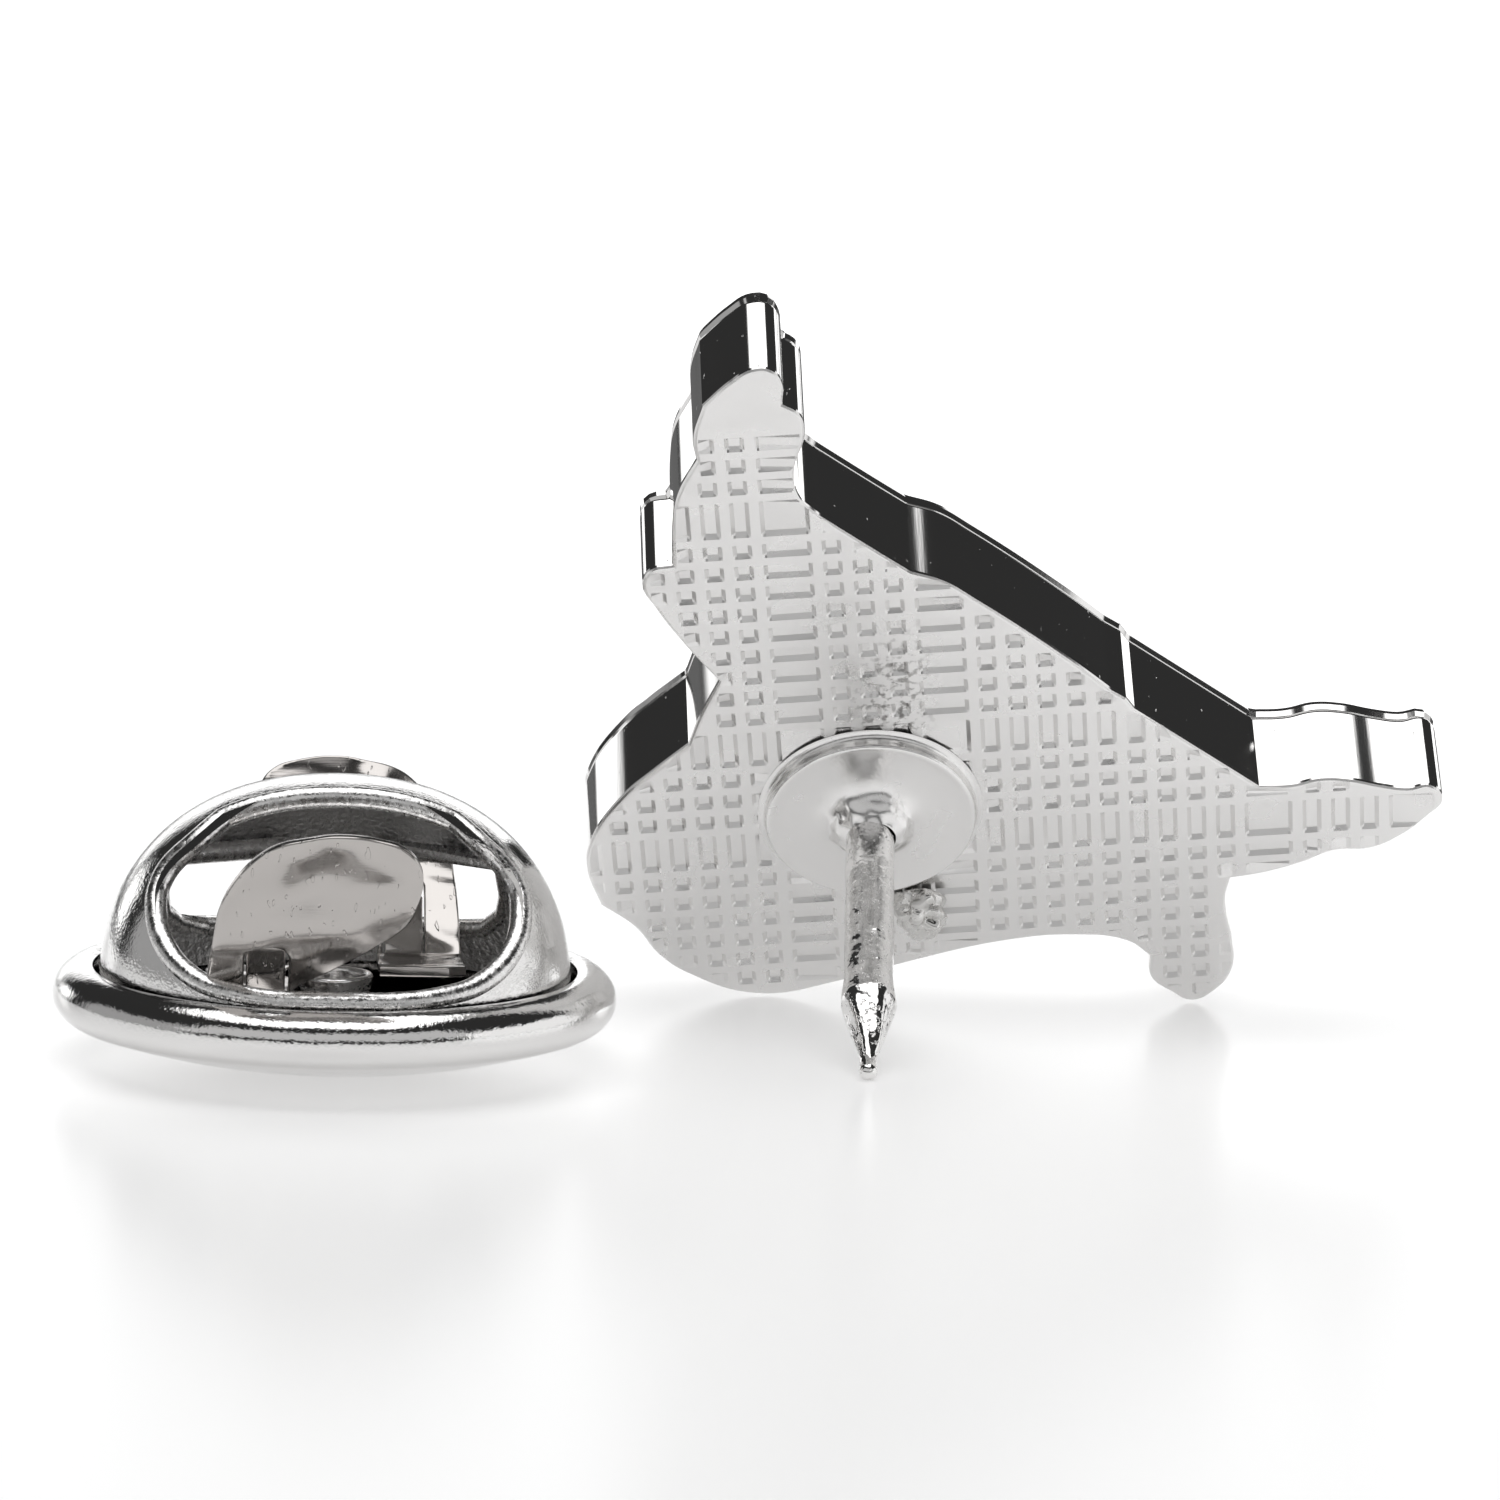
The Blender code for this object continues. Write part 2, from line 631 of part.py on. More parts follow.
def fold(mesh, lean, length, cuts):
    """Bends a flat blank in X and Y about lines across it, so that its base plate lies level.

    The hinge line is the X axis. The base plate runs towards +Y and the rest rises towards -Y.
    """
    shape = bmesh.new()
    shape.from_mesh(mesh)
    for s in cuts:
        geometry = shape.verts[:] + shape.edges[:] + shape.faces[:]
        bmesh.ops.bisect_plane(shape, geom=geometry, plane_co=(0, s, 0), plane_no=(0, 1, 0), dist=1e-7)
    steps = 400
    step = length / steps
    path = [(0.0, 0.0)]
    for i in range(steps + 20):
        angle = lean((i + 0.5) * step)
        path.append((path[-1][0] + math.sin(angle) * step, path[-1][1] + math.cos(angle) * step))
    for vertex in shape.verts:
        x, s, offset = vertex.co
        angle = lean(s)
        if s <= 0:
            out, up = s, 0.0
        else:
            i = min(int(s / step), len(path) - 2)
            share = s / step - i
            out = path[i][0] + (path[i + 1][0] - path[i][0]) * share
            up = path[i][1] + (path[i + 1][1] - path[i][1]) * share
        vertex.co = (x, -out + offset * math.cos(angle), up + offset * math.sin(angle))
    bmesh.ops.triangulate(shape, faces=shape.faces)
    bmesh.ops.recalc_face_normals(shape, faces=shape.faces)
    shape.to_mesh(mesh)
    shape.free()


def make_wing(name, parent, turn, opened):
    """One of the two like wings, which face each other half a turn apart."""
    hinge = bpy.data.objects.new(name + "_hinge", None)
    parts.objects.link(hinge)
    hinge.parent = parent
    hinge.rotation_euler = (opened, 0, turn)
    hinge.location = Matrix.Rotation(turn, 3, "Z") @ Vector(
        (0, -WING_HINGE_OFFSET, RIM_HEIGHT + WING_HINGE_HEIGHT)
    )
    sheet = outline_mesh(name, [wing_blank(), arch_hole()], WING_THICKNESS, resolution=2)
    rows = 12
    bends = [BEND_LENGTH * i / 2 for i in range(3)]
    bends += [BEND_LENGTH + (WING_LENGTH - BEND_LENGTH) * i / rows for i in range(1, rows)]
    fold(sheet, wing_lean, WING_LENGTH, bends)
    wing = place(bpy.data.objects.new(name, sheet), hinge, plated_wing)
    tab = outline_mesh(name + "_tab", [tab_blank()], WING_THICKNESS * 0.8, resolution=1)
    fold(tab, tab_lean, TAB_LENGTH, [TAB_BEND_LENGTH * i / 4 for i in range(5)])
    cut(wing, helper(name + "_tab", tab, hinge), "UNION")
    return wing


# How the tack rests


def lower_edge(points, across):
    """The two points that a straight edge under the outline touches on either side of this place."""
    hull = []
    for point in sorted(points):
        while len(hull) > 1:
            (ax, ay), (bx, by) = hull[-2], hull[-1]
            if (bx - ax) * (point[1] - ay) > (by - ay) * (point[0] - ax):
                break
            hull.pop()
        hull.append(point)
    pairs = zip(hull, hull[1:])
    return next((a, b) for a, b in pairs if a[0] <= across <= b[0])


def resting_tack(badge):
    """The matrix that stands the tack on its nail's tip and the two lowest points of its back edge."""
    lean = Matrix.Rotation(-NAIL_LEAN, 3, "Y")
    ball = lean @ Vector((0, 0, NAIL_LENGTH - NAIL_TIP_RADIUS))
    back = [(v.co.x, v.co.y) for v in badge.data.vertices if abs(v.co.z) < SEAT_GAP / 2]
    left, right = [Vector((*point, 0)) for point in lower_edge(back, ball.x)]
    along = (right - left).normalized()
    tip = ball
    for _ in range(TANGENT_ROUNDS):
        up = along.cross(left - tip).normalized()
        up = up if up.y > 0 else -up
        tip = ball - up * NAIL_TIP_RADIUS
    inward = up.cross(along)
    axes = Matrix((along, inward, up))
    turn = Matrix.Rotation(REST_YAW, 3, "Z") @ axes
    return Matrix.Translation(-(turn @ tip)) @ turn.to_4x4()


def centre_on_table(parents):
    """Moves the parents so that the middle of the box round all the parts is over the origin."""
    bpy.context.view_layer.update()
    graph = bpy.context.evaluated_depsgraph_get()
    corners = []
    for obj in parts.objects:
        if obj.type == "MESH":
            mesh = obj.evaluated_get(graph).to_mesh()
            corners += [obj.matrix_world @ vertex.co for vertex in mesh.vertices]
            obj.evaluated_get(graph).to_mesh_clear()
    low = Vector([min(corner[i] for corner in corners) for i in range(3)])
    high = Vector([max(corner[i] for corner in corners) for i in range(3)])
    shift = -(low + high) / 2
    shift.z = -low.z
    for parent in parents:
        parent.location += shift
    bpy.context.view_layer.update()


clear_scene()
parts = new_collection("tie_tack")
cutters = new_collection("cutters", hidden=True)

plated_badge = metal("plated_badge", (0.8, 0.79, 0.78), 0.25)
plated_post = metal("plated_post", (0.8, 0.79, 0.78), 0.2)
plated_clutch = metal("plated_clutch", (0.82, 0.8, 0.79), 0.12)
plated_wing = metal("plated_wing", (0.74, 0.72, 0.7), 0.2)
solder = metal("solder", (0.76, 0.76, 0.76), 0.35)

tack = bpy.data.objects.new("tack_frame", None)
clutch = bpy.data.objects.new("clutch_frame", None)
for frame in (tack, clutch):
    parts.objects.link(frame)

badge = make_badge(tack)
make_post_pad(tack)
make_post(tack)
make_solder_bead(tack)
tack.matrix_world = resting_tack(badge)

make_clutch_dish(clutch)
make_clutch_dome(clutch)
make_guide_eyelet(clutch)
make_wing("front_wing", clutch, 0, FRONT_WING_OPEN)
make_wing("rear_wing", clutch, math.pi, REAR_WING_OPEN)
clutch.location = (*CLUTCH_FROM_TIP, -bowl_height(DISH_HOLE_RADIUS))
clutch.rotation_euler = (0, 0, CLUTCH_YAW)

centre_on_table((tack, clutch))
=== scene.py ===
"""Looks of the tie tack: a die-struck badge with a nail on its back, beside its butterfly clutch.

Laid out as a Blender add-on. Each operator models one piece, or a group of like pieces, in the frame
of the CAD model: the tack's pieces in a frame on the badge's back, the clutch's in one under its dish.
"""

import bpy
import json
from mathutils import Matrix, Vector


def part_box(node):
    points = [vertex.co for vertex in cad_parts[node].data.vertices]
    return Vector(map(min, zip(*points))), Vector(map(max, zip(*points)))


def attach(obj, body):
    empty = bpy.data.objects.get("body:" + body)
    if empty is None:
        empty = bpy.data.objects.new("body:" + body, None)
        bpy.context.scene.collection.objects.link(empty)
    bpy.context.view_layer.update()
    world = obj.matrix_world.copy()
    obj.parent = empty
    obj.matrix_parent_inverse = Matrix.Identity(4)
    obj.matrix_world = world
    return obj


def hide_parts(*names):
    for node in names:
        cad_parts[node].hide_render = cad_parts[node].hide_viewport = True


bl_info = {
    "name": "Tie Tack",
    "version": (1, 0, 0),
    "blender": (4, 5, 0),
    "location": "3D View > Sidebar > Tie Tack",
    "description": "Models a tie tack and its butterfly clutch round a packed CAD frame",
    "category": "Add Mesh",
}

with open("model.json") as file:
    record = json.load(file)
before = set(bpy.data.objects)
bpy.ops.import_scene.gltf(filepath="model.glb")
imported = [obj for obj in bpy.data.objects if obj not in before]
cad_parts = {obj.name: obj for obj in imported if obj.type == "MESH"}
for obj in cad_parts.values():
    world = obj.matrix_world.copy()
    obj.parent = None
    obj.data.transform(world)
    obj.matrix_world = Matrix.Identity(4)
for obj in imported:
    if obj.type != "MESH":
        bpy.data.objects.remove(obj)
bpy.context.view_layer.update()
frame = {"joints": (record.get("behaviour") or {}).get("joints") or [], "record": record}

import json
import math

import bmesh
import bpy
from bpy.props import FloatProperty, FloatVectorProperty, IntProperty, PointerProperty, StringProperty
from mathutils import Matrix, Vector, kdtree, noise

MM = 0.001
WELD = 1e-7
SHARP = math.radians(38)
FULL_TURN = 2 * math.pi

# Mount pad_face in the tack's frame, which lies on the badge's back with Z along the nail
PAD_FACE_POINT = Vector((0, 1.8 * MM, 0.34 * MM))

# Nail
NAIL_LENGTH = 7.87 * MM
NAIL_LEAN = math.radians(2.7)
SEAT_GAP = 0.04 * MM

# Clutch, as in the CAD. The rim's height is the middle of its roll, above the table
DISH_RADIUS = 5.88 * MM
DISH_WALL = 0.28 * MM
RIM_HEIGHT = 1.45 * MM
CURL_RADIUS = 0.6 * MM
CURL_END = math.radians(112)
DISH_HOLE_RADIUS = 0.86 * MM
DOME_RADIUS = 4.93 * MM
DOME_HEIGHT = 4.56 * MM
DOME_WALL = 0.33 * MM
DOME_SQUARENESS = 2.25
WINDOW_START = 1.06 * MM
WING_THICKNESS = 0.22 * MM
WING_HINGE_OFFSET = 2.6 * MM
WING_LENGTH = 5.4 * MM
WING_WIDTH = 4.33 * MM
WING_LEFT = -2.71 * MM
STALK_WIDTH = 1.8 * MM
JAW_LENGTH = 3.35 * MM
JAW_NOTCH_RADIUS = 1.08 * MM
BEND_LENGTH = 0.2 * MM
WING_ROOT_LEAN = math.radians(60)
WING_TIP_LEAN = math.radians(12)
ARCH_CENTRE = -1.495 * MM
WING_OPEN = {"front_wing": math.radians(1.5), "rear_wing": math.radians(6)}
ARCH_WIDTH = 0.91 * MM
ARCH_HEIGHT = 2.7 * MM
PADDLE_BELLY = 0.28 * MM
PADDLE_CREASE = 0.12 * MM

# The belly, in shares of the wing's width and length: its middle, and how tightly it ends
BELLY_MIDDLE = (0.52, 0.76)
BELLY_TIGHTNESS = (1.9, 3.6)
TAB_WIDTH = 0.8 * MM
TAB_LENGTH = 1.6 * MM
TAB_BEND_LENGTH = 0.35 * MM
TAB_LEAN = math.radians(20)

SMOOTH, CORNER = "AUTO", "VECTOR"

# Outline of the badge seen from its back, in millimetres from the nail, anticlockwise from the head.
# Points that aren't corners are smooth
OUTLINE = [
    (-2.05, 10.9),
    (-2.2, 11.45),
    (-2.55, 11.7, CORNER),
    (-2.6, 12.3),
    (-2.85, 12.64),
    (-3.25, 12.64),
    (-3.65, 12.3),
    (-4.2, 11.6, CORNER),
    (-4.35, 10.7),
    (-4.25, 10.1, CORNER),
    (-4.6, 9.1),
    (-4.65, 8.3),
    (-4.6, 7.1, CORNER),
    (-5.05, 6.95),
    (-5.2, 6.5),
    (-4.9, 5.85),
    (-4.2, 4.75),
    (-3.45, 3.75, CORNER),
    (-3.8, 2.7),
    (-4.0, 1.85, CORNER),
    (-4.7, 1.05),
    (-5.3, 0.3),
    (-5.95, -1.1),
    (-6.0, -2.0),
    (-5.65, -3.1, CORNER),
    (-4.9, -3.75),
    (-4.3, -4.65),
    (-3.65, -5.2),
    (-2.1, -5.8),
    (-0.3, -5.35),
    (1.2, -4.7),
    (3.25, -4.0),
    (4.6, -3.8),
    (5.85, -3.95),
    (6.4, -4.4, CORNER),
    (6.5, -5.1),
    (7.0, -5.55),
    (7.45, -5.8),
    (7.95, -5.45),
    (8.25, -4.8),
    (8.15, -3.8),
    (7.9, -2.6),
    (7.95, -1.95, CORNER),
    (8.7, -1.75),
    (9.5, -1.4),
    (10.1, -1.05),
    (10.9, -0.95),
    (11.45, -0.6),
    (12.05, 0.1),
    (12.3, 0.55),
    (12.0, 1.0),
    (11.5, 0.9),
    (10.95, 0.97),
    (10.2, 1.14),
    (9.6, 1.15),
    (9.0, 0.95),
    (8.3, 0.9, CORNER),
    (5.42, 3.16, CORNER),
    (5.22, 3.46, CORNER),
    (4.9, 3.68, CORNER),
    (4.0, 4.5),
    (1.8, 6.3),
    (1.1, 6.8),
    (0.4, 7.05, CORNER),
    (-0.45, 7.7),
    (-1.6, 8.6, CORNER),
    (-2.05, 9.1),
    (-2.2, 9.85),
]

# Upstanding part of a wing's blank, as shares of its width and of its length from the bend
PADDLE = [
    (0.41, 0.2),
    (0.58, 0.345),
    (0.765, 0.48),
    (0.93, 0.615),
    (0.975, 0.72),
    (1.0, 0.81),
    (0.985, 0.88),
    (0.92, 0.947),
    (0.8, 0.983),
    (0.59, 1.0),
    (0.46, 0.983),
    (0.315, 0.953),
    (0.23, 0.907),
    (0.12, 0.796),
    (0.06, 0.687),
    (0.034, 0.578),
    (0.012, 0.4),
    (0.0, 0.18),
]

# The waffle's cells run in this order, in pitches, and again
WAFFLE_ORDER = (2, 1, 1, 1, 2, 1, 1, 1, 1, 1, 1, 1, 1, 1)

# Its two directions: the middle of a wide cell, how far the pitch is drawn out, and the slab's ends
WAFFLE_ACROSS = (-1.38 * MM, 1.008, -8.2 * MM, 13.5 * MM)
WAFFLE_ALONG = (-1.01 * MM, 0.992, -7.6 * MM, 13.6 * MM)

# It fades out towards the head, and for the most part round the nail's pad
HEAD_FADE = (10.6 * MM, 11.1 * MM)
PAD_FADE = (2.3 * MM, 2.75 * MM)
PAD_FILL = 0.85

# Wear of the pockets and unevenness of the ribs: size of a patch, and how much
WEAR = (0.9 * MM, 0.2)
UNEVENNESS = (0.35 * MM, 0.0015 * MM)

# Points that follow an outline: how many to a span, and the share of an inset that each must keep
SPAN_POINTS = 12
INSET_TRUTH = 0.97


# Frames


def tack_matrix():
    """The frame on the badge's back, from the mount on the nail's pad."""
    mount = next(m for m in frame["record"]["mounts"] if m["name"] == "pad_face")
    z = Vector(mount["axis"]).normalized()
    x = Vector((0, 0, 1)).cross(z).normalized()
    turn = Matrix((x, z.cross(x), z)).transposed()
    return Matrix.Translation(Vector(mount["pos_m"]) - turn @ PAD_FACE_POINT) @ turn.to_4x4()


def wing_hinge(name):
    """A wing's frame: X along the line that it rocks on, Z up."""
    joint = next(j for j in frame["joints"] if j["name"] == name + "_pinch")
    x = -Vector(joint["axis"]).normalized()
    z = Vector((0, 0, 1))
    return Matrix.Translation(joint["pos_m"]) @ Matrix((x, z.cross(x), z)).transposed().to_4x4()


def clutch_matrix():
    """The frame on the clutch's axis, at the height of the table under its dish."""
    front, rear = wing_hinge("front_wing"), wing_hinge("rear_wing")
    middle = (front.translation + rear.translation) / 2
    middle.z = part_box("clutch_dish")[0][2] - bowl_height(DISH_HOLE_RADIUS)
    matrix = front.copy()
    matrix.translation = middle
    return matrix


# Shapes


def smooth(value, low, high):
    """0 below low, 1 above high and a smooth ramp between them."""
    share = min(1, max(0, (value - low) / (high - low)))
    return share * share * (3 - 2 * share)


def arc(centre, radius, start, end, steps):
    angles = [start + (end - start) * i / steps for i in range(steps + 1)]
    return [(centre[0] + radius * math.cos(a), centre[1] + radius * math.sin(a)) for a in angles]


def corners(points):
    return [(x, y, CORNER) for x, y in points]


def curve_object(name, outlines, resolution):
    curve = bpy.data.curves.new(name, "CURVE")
    curve.dimensions = "2D"
    curve.resolution_u = resolution
    for outline in outlines:
        spline = curve.splines.new("BEZIER")
        spline.bezier_points.add(len(outline) - 1)
        spline.use_cyclic_u = True
        for point, (x, y, handle) in zip(spline.bezier_points, outline):
            point.co = (x, y, 0)
            point.handle_left_type = point.handle_right_type = handle
    obj = bpy.data.objects.new(name, curve)
    bpy.context.scene.collection.objects.link(obj)
    return obj


def evaluated(obj):
    """The object's mesh as its modifiers or its curve make it, in a bmesh. The object is removed."""
    bpy.context.view_layer.update()
    graph = bpy.context.evaluated_depsgraph_get()
    mesh = bpy.data.meshes.new_from_object(obj.evaluated_get(graph))
    shape = bmesh.new()
    shape.from_mesh(mesh)
    bpy.data.meshes.remove(mesh)
    bpy.data.objects.remove(obj)
    bmesh.ops.remove_doubles(shape, verts=shape.verts, dist=WELD)
    return shape


def outline_points(outline):
    """The points that a closed outline is drawn through, in order round it."""
    shape = evaluated(curve_object("outline", [outline], SPAN_POINTS))
    points = []
    start = vert = next(iter(shape.verts))
    edge = vert.link_edges[0]
    while True:
        points.append(vert.co.copy())
        vert = edge.other_vert(vert)
        if vert == start:
            break
        edge = next(e for e in vert.link_edges if e != edge)
    shape.free()
    return points


def plate(name, outlines, low, high, rounding=0, resolution=8):
    """A solid with these flat outlines between two heights, its edges rounded."""
    obj = curve_object(name, outlines, resolution)
    obj.data.fill_mode = "BOTH"
    obj.data.extrude = (high - low) / 2 - rounding
    obj.data.bevel_depth = rounding
    obj.data.bevel_resolution = 2
    obj.data.offset = -rounding
    shape = evaluated(obj)
    bmesh.ops.translate(shape, verts=shape.verts, vec=(0, 0, (low + high) / 2))
    bmesh.ops.recalc_face_normals(shape, faces=shape.faces)
    return shape


def turned(profile, steps, closed=True):
    """A profile of (radius, height) points turned about Z."""
    shape = bmesh.new()
    verts = [shape.verts.new((radius, 0, height)) for radius, height in profile]
    for first, second in zip(verts, verts[1:]):
        shape.edges.new((first, second))
    if closed:
        shape.edges.new((verts[-1], verts[0]))
    bmesh.ops.spin(
        shape,
        geom=shape.verts[:] + shape.edges[:],
        cent=(0, 0, 0),
        axis=(0, 0, 1),
        angle=FULL_TURN,
        steps=steps,
        use_merge=True,
    )
    bmesh.ops.remove_doubles(shape, verts=shape.verts, dist=WELD)
    bmesh.ops.recalc_face_normals(shape, faces=shape.faces)
    return shape


def loft(path, radius, sides=10):
    """A round closed tube along a closed path."""
    shape = bmesh.new()
    rings = []
    count = len(path)
    for i, point in enumerate(path):
        along = (path[(i + 1) % count] - path[i - 1]).normalized()
        across = along.orthogonal().normalized() if not rings else (
            rings[-1][1] - along * rings[-1][1].dot(along)
        ).normalized()
        ring = bmesh.ops.create_circle(shape, segments=sides, radius=radius)["verts"]
        turn = Matrix((across, along.cross(across), along)).transposed()
        bmesh.ops.transform(shape, matrix=Matrix.Translation(point) @ turn.to_4x4(), verts=ring)
        rings.append((ring, across))
    for i in range(count):
        first, second = rings[i][0], rings[(i + 1) % count][0]
        shift = min(range(sides), key=lambda k: (second[k].co - first[0].co).length)
        for j in range(sides):
            a, b = first[j], first[(j + 1) % sides]
            c, d = second[(j + 1 + shift) % sides], second[(j + shift) % sides]
            shape.faces.new((a, b, c, d))
    bmesh.ops.recalc_face_normals(shape, faces=shape.faces)
    return shape


def combined(name, shape, other, operation):
    """The solid that a Boolean makes of two shapes."""
    objects = []
    for part, source in (("", shape), ("_other", other)):
        mesh = bpy.data.meshes.new(name + part)
        source.to_mesh(mesh)
        source.free()
        obj = bpy.data.objects.new(name + part, mesh)
        bpy.context.scene.collection.objects.link(obj)
        objects.append(obj)
    boolean = objects[0].modifiers.new("Combine", "BOOLEAN")
    boolean.operation = operation
    boolean.solver = "EXACT"
    boolean.object = objects[1]
    result = evaluated(objects[0])
    bpy.data.objects.remove(objects[1])
    return result


def joined(shape, *others):
    for other in others:
        mesh = bpy.data.meshes.new("joined")
        other.to_mesh(mesh)
        other.free()
        shape.from_mesh(mesh)
        bpy.data.meshes.remove(mesh)
    return shape


def finished(name, shape, matrix, materials, body, nodes, material_of=None, sharp=SHARP):
    """Makes the piece's object: its place is in its mesh, and "local" keeps its own frame's points."""
    local = shape.verts.layers.float_vector.new("local")
    for vert in shape.verts:
        vert[local] = vert.co / MM
    if material_of:
        for face in shape.faces:
            face.material_index = material_of(face)
    for face in shape.faces:
        face.smooth = True
    bmesh.ops.transform(shape, matrix=matrix, verts=shape.verts)
    mesh = bpy.data.meshes.new(name)
    shape.to_mesh(mesh)
    shape.free()
    mesh.set_sharp_from_angle(angle=sharp)
    obj = bpy.data.objects.new(name, mesh)
    for material in materials:
        mesh.materials.append(material)
    bpy.context.scene.collection.objects.link(obj)
    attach(obj, body)
    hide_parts(*nodes)
    return obj


# Materials


def linear(colour):
    """sRGB hex to a linear colour."""
    values = [int(colour[i : i + 2], 16) / 255 for i in (1, 3, 5)]
    return (*[v / 12.92 if v <= 0.04045 else ((v + 0.055) / 1.055) ** 2.4 for v in values], 1)


def add(tree, kind, inputs=None, **settings):
    """Adds a node, with its settings, its input values and the links into it."""
    node = tree.nodes.new(kind)
    for name, value in settings.items():
        setattr(node, name, value)
    for socket, value in (inputs or {}).items():
        if isinstance(value, bpy.types.NodeSocket):
            tree.links.new(value, node.inputs[socket])
        else:
            node.inputs[socket].default_value = value
    return node


def new_metal(name, colour, roughness):
    material = bpy.data.materials.new(name)
    material.use_nodes = True
    tree = material.node_tree
    shader = tree.nodes["Principled BSDF"]
    shader.inputs["Base Color"].default_value = linear(colour)
    shader.inputs["Metallic"].default_value = 1
    shader.inputs["Roughness"].default_value = roughness
    place = add(tree, "ShaderNodeAttribute", attribute_name="local")
    return material, tree, shader, place.outputs["Vector"]


def grain(tree, place, grain_mm, detail=3, stretch=(1, 1, 1)):
    """Noise with grains of this size, drawn out along the axes where stretch is under 1."""
    scaled = add(tree, "ShaderNodeMapping", {"Vector": place, "Scale": stretch})
    texture = add(
        tree,
        "ShaderNodeTexNoise",
        {"Vector": scaled.outputs["Vector"], "Scale": 1 / grain_mm, "Detail": detail},
    )
    return texture.outputs["Fac"]


def ramp(tree, value, low, high, start=0.0, end=1.0):
    node = add(
        tree,
        "ShaderNodeMapRange",
        {"Value": value, "From Min": low, "From Max": high, "To Min": start, "To Max": end},
        interpolation_type="SMOOTHSTEP",
    )
    return node.outputs["Result"]


def math_node(tree, operation, first, second=0.0):
    return add(tree, "ShaderNodeMath", {0: first, 1: second}, operation=operation).outputs[0]


def bump(tree, height, depth_mm, strength=1.0, normal=None):
    inputs = {"Height": height, "Distance": depth_mm * MM, "Strength": strength}
    if normal:
        inputs["Normal"] = normal
    return add(tree, "ShaderNodeBump", inputs).outputs["Normal"]


def surface(tree, shader, reliefs, roughness=None):
    """Links reliefs, each (height, depth in mm, strength), and a roughness into the shader."""
    normal = None
    for height, depth_mm, strength in reliefs:
        normal = bump(tree, height, depth_mm, strength, normal)
    tree.links.new(normal, shader.inputs["Normal"])
    if roughness:
        tree.links.new(roughness, shader.inputs["Roughness"])


def satin_rhodium(colours):
    """Cast zinc alloy, plated with rhodium: a soft white sheen with a fine grain, and flux stains."""
    material, tree, shader, place = new_metal("satin_rhodium_plate", colours.rhodium, 0.3)
    fine = grain(tree, place, 0.06)
    broad = grain(tree, place, 1.3, detail=4)
    roughness = ramp(tree, broad, 0.3, 0.7, 0.24, 0.38)
    surface(tree, shader, [(fine, 0.004, 0.7), (broad, 0.03, 0.5)], roughness)
    squeezed = add(tree, "ShaderNodeMapping", {"Vector": place, "Scale": (1, 0.42, 1)})
    near = add(
        tree,
        "ShaderNodeVectorMath",
        {0: squeezed.outputs["Vector"], 1: (0.25, 1.35, 0)},
        operation="DISTANCE",
    )
    stain = ramp(tree, near.outputs["Value"], 0.2, 1.2, 1.0, 0.0)
    blotches = ramp(tree, grain(tree, place, 0.2, detail=4), 0.5, 0.66)
    amount = math_node(tree, "MULTIPLY", stain, blotches)
    mix = add(tree, "ShaderNodeMix", {"Factor": amount}, data_type="RGBA")
    mix.inputs["A"].default_value = linear(colours.rhodium)
    mix.inputs["B"].default_value = linear(colours.flux)
    tree.links.new(mix.outputs["Result"], shader.inputs["Base Color"])
    return material


def polished_rhodium(colours):
    """The badge's cut edge, polished before plating: a mirror with fine drag lines and specks."""
    material, tree, shader, place = new_metal("polished_rhodium_edge", colours.rhodium, 0.07)
    lines = grain(tree, place, 0.05, detail=2, stretch=(1, 1, 0.06))
    specks = ramp(tree, grain(tree, place, 0.13, detail=3, stretch=(1, 1, 0.5)), 0.73, 0.76)
    roughness = ramp(tree, specks, 0, 1, 0.08, 0.25)
    surface(tree, shader, [(lines, 0.0007, 0.5), (specks, 0.012, 0.8)], roughness)
    return material


def stippled_rhodium(colours):
    """The front's field, matted with a fine punch: small dents all over."""
    material, tree, shader, place = new_metal("stippled_rhodium_field", colours.rhodium, 0.34)
    dents = add(
        tree, "ShaderNodeTexVoronoi", {"Vector": place, "Scale": 1 / 0.16}, feature="SMOOTH_F1"
    )
    surface(tree, shader, [(dents.outputs["Distance"], 0.04, 0.8)])
    return material


def tumbled_rhodium(colours):
    """The nail: drawn steel wire, tumbled, then plated, with a lumpy skin and a few pits."""
    material, tree, shader, place = new_metal("tumbled_rhodium_steel", colours.rhodium, 0.12)
    lumps = grain(tree, place, 0.4, detail=2)
    fine = grain(tree, place, 0.07, detail=3)
    pits = ramp(tree, grain(tree, place, 0.13, detail=2), 0.6, 0.7, 1.0, 0.0)
    reliefs = [(lumps, 0.055, 0.7), (fine, 0.003, 0.5), (pits, 0.02, 0.7)]
    surface(tree, shader, reliefs, ramp(tree, fine, 0.3, 0.7, 0.05, 0.13))
    return material


def pressed_rhodium(colours):
    """The nail's pad: pressed steel, plated, smoother than the cast back round it."""
    material, tree, shader, place = new_metal("pressed_rhodium_steel", colours.rhodium, 0.2)
    fine = grain(tree, place, 0.08)
    broad = grain(tree, place, 0.9, detail=3)
    roughness = ramp(tree, broad, 0.3, 0.7, 0.15, 0.28)
    surface(tree, shader, [(fine, 0.003, 0.6), (broad, 0.02, 0.5)], roughness)
    return material


def plated_solder(colours):
    """Solder that splashed and froze, plated over: wrinkled, half bright and half dull."""
    material, tree, shader, place = new_metal("plated_solder", colours.solder, 0.2)
    wrinkles = grain(tree, place, 0.3, detail=3)
    surface(tree, shader, [(wrinkles, 0.03, 0.6)], ramp(tree, wrinkles, 0.35, 0.65, 0.1, 0.4))
    return material


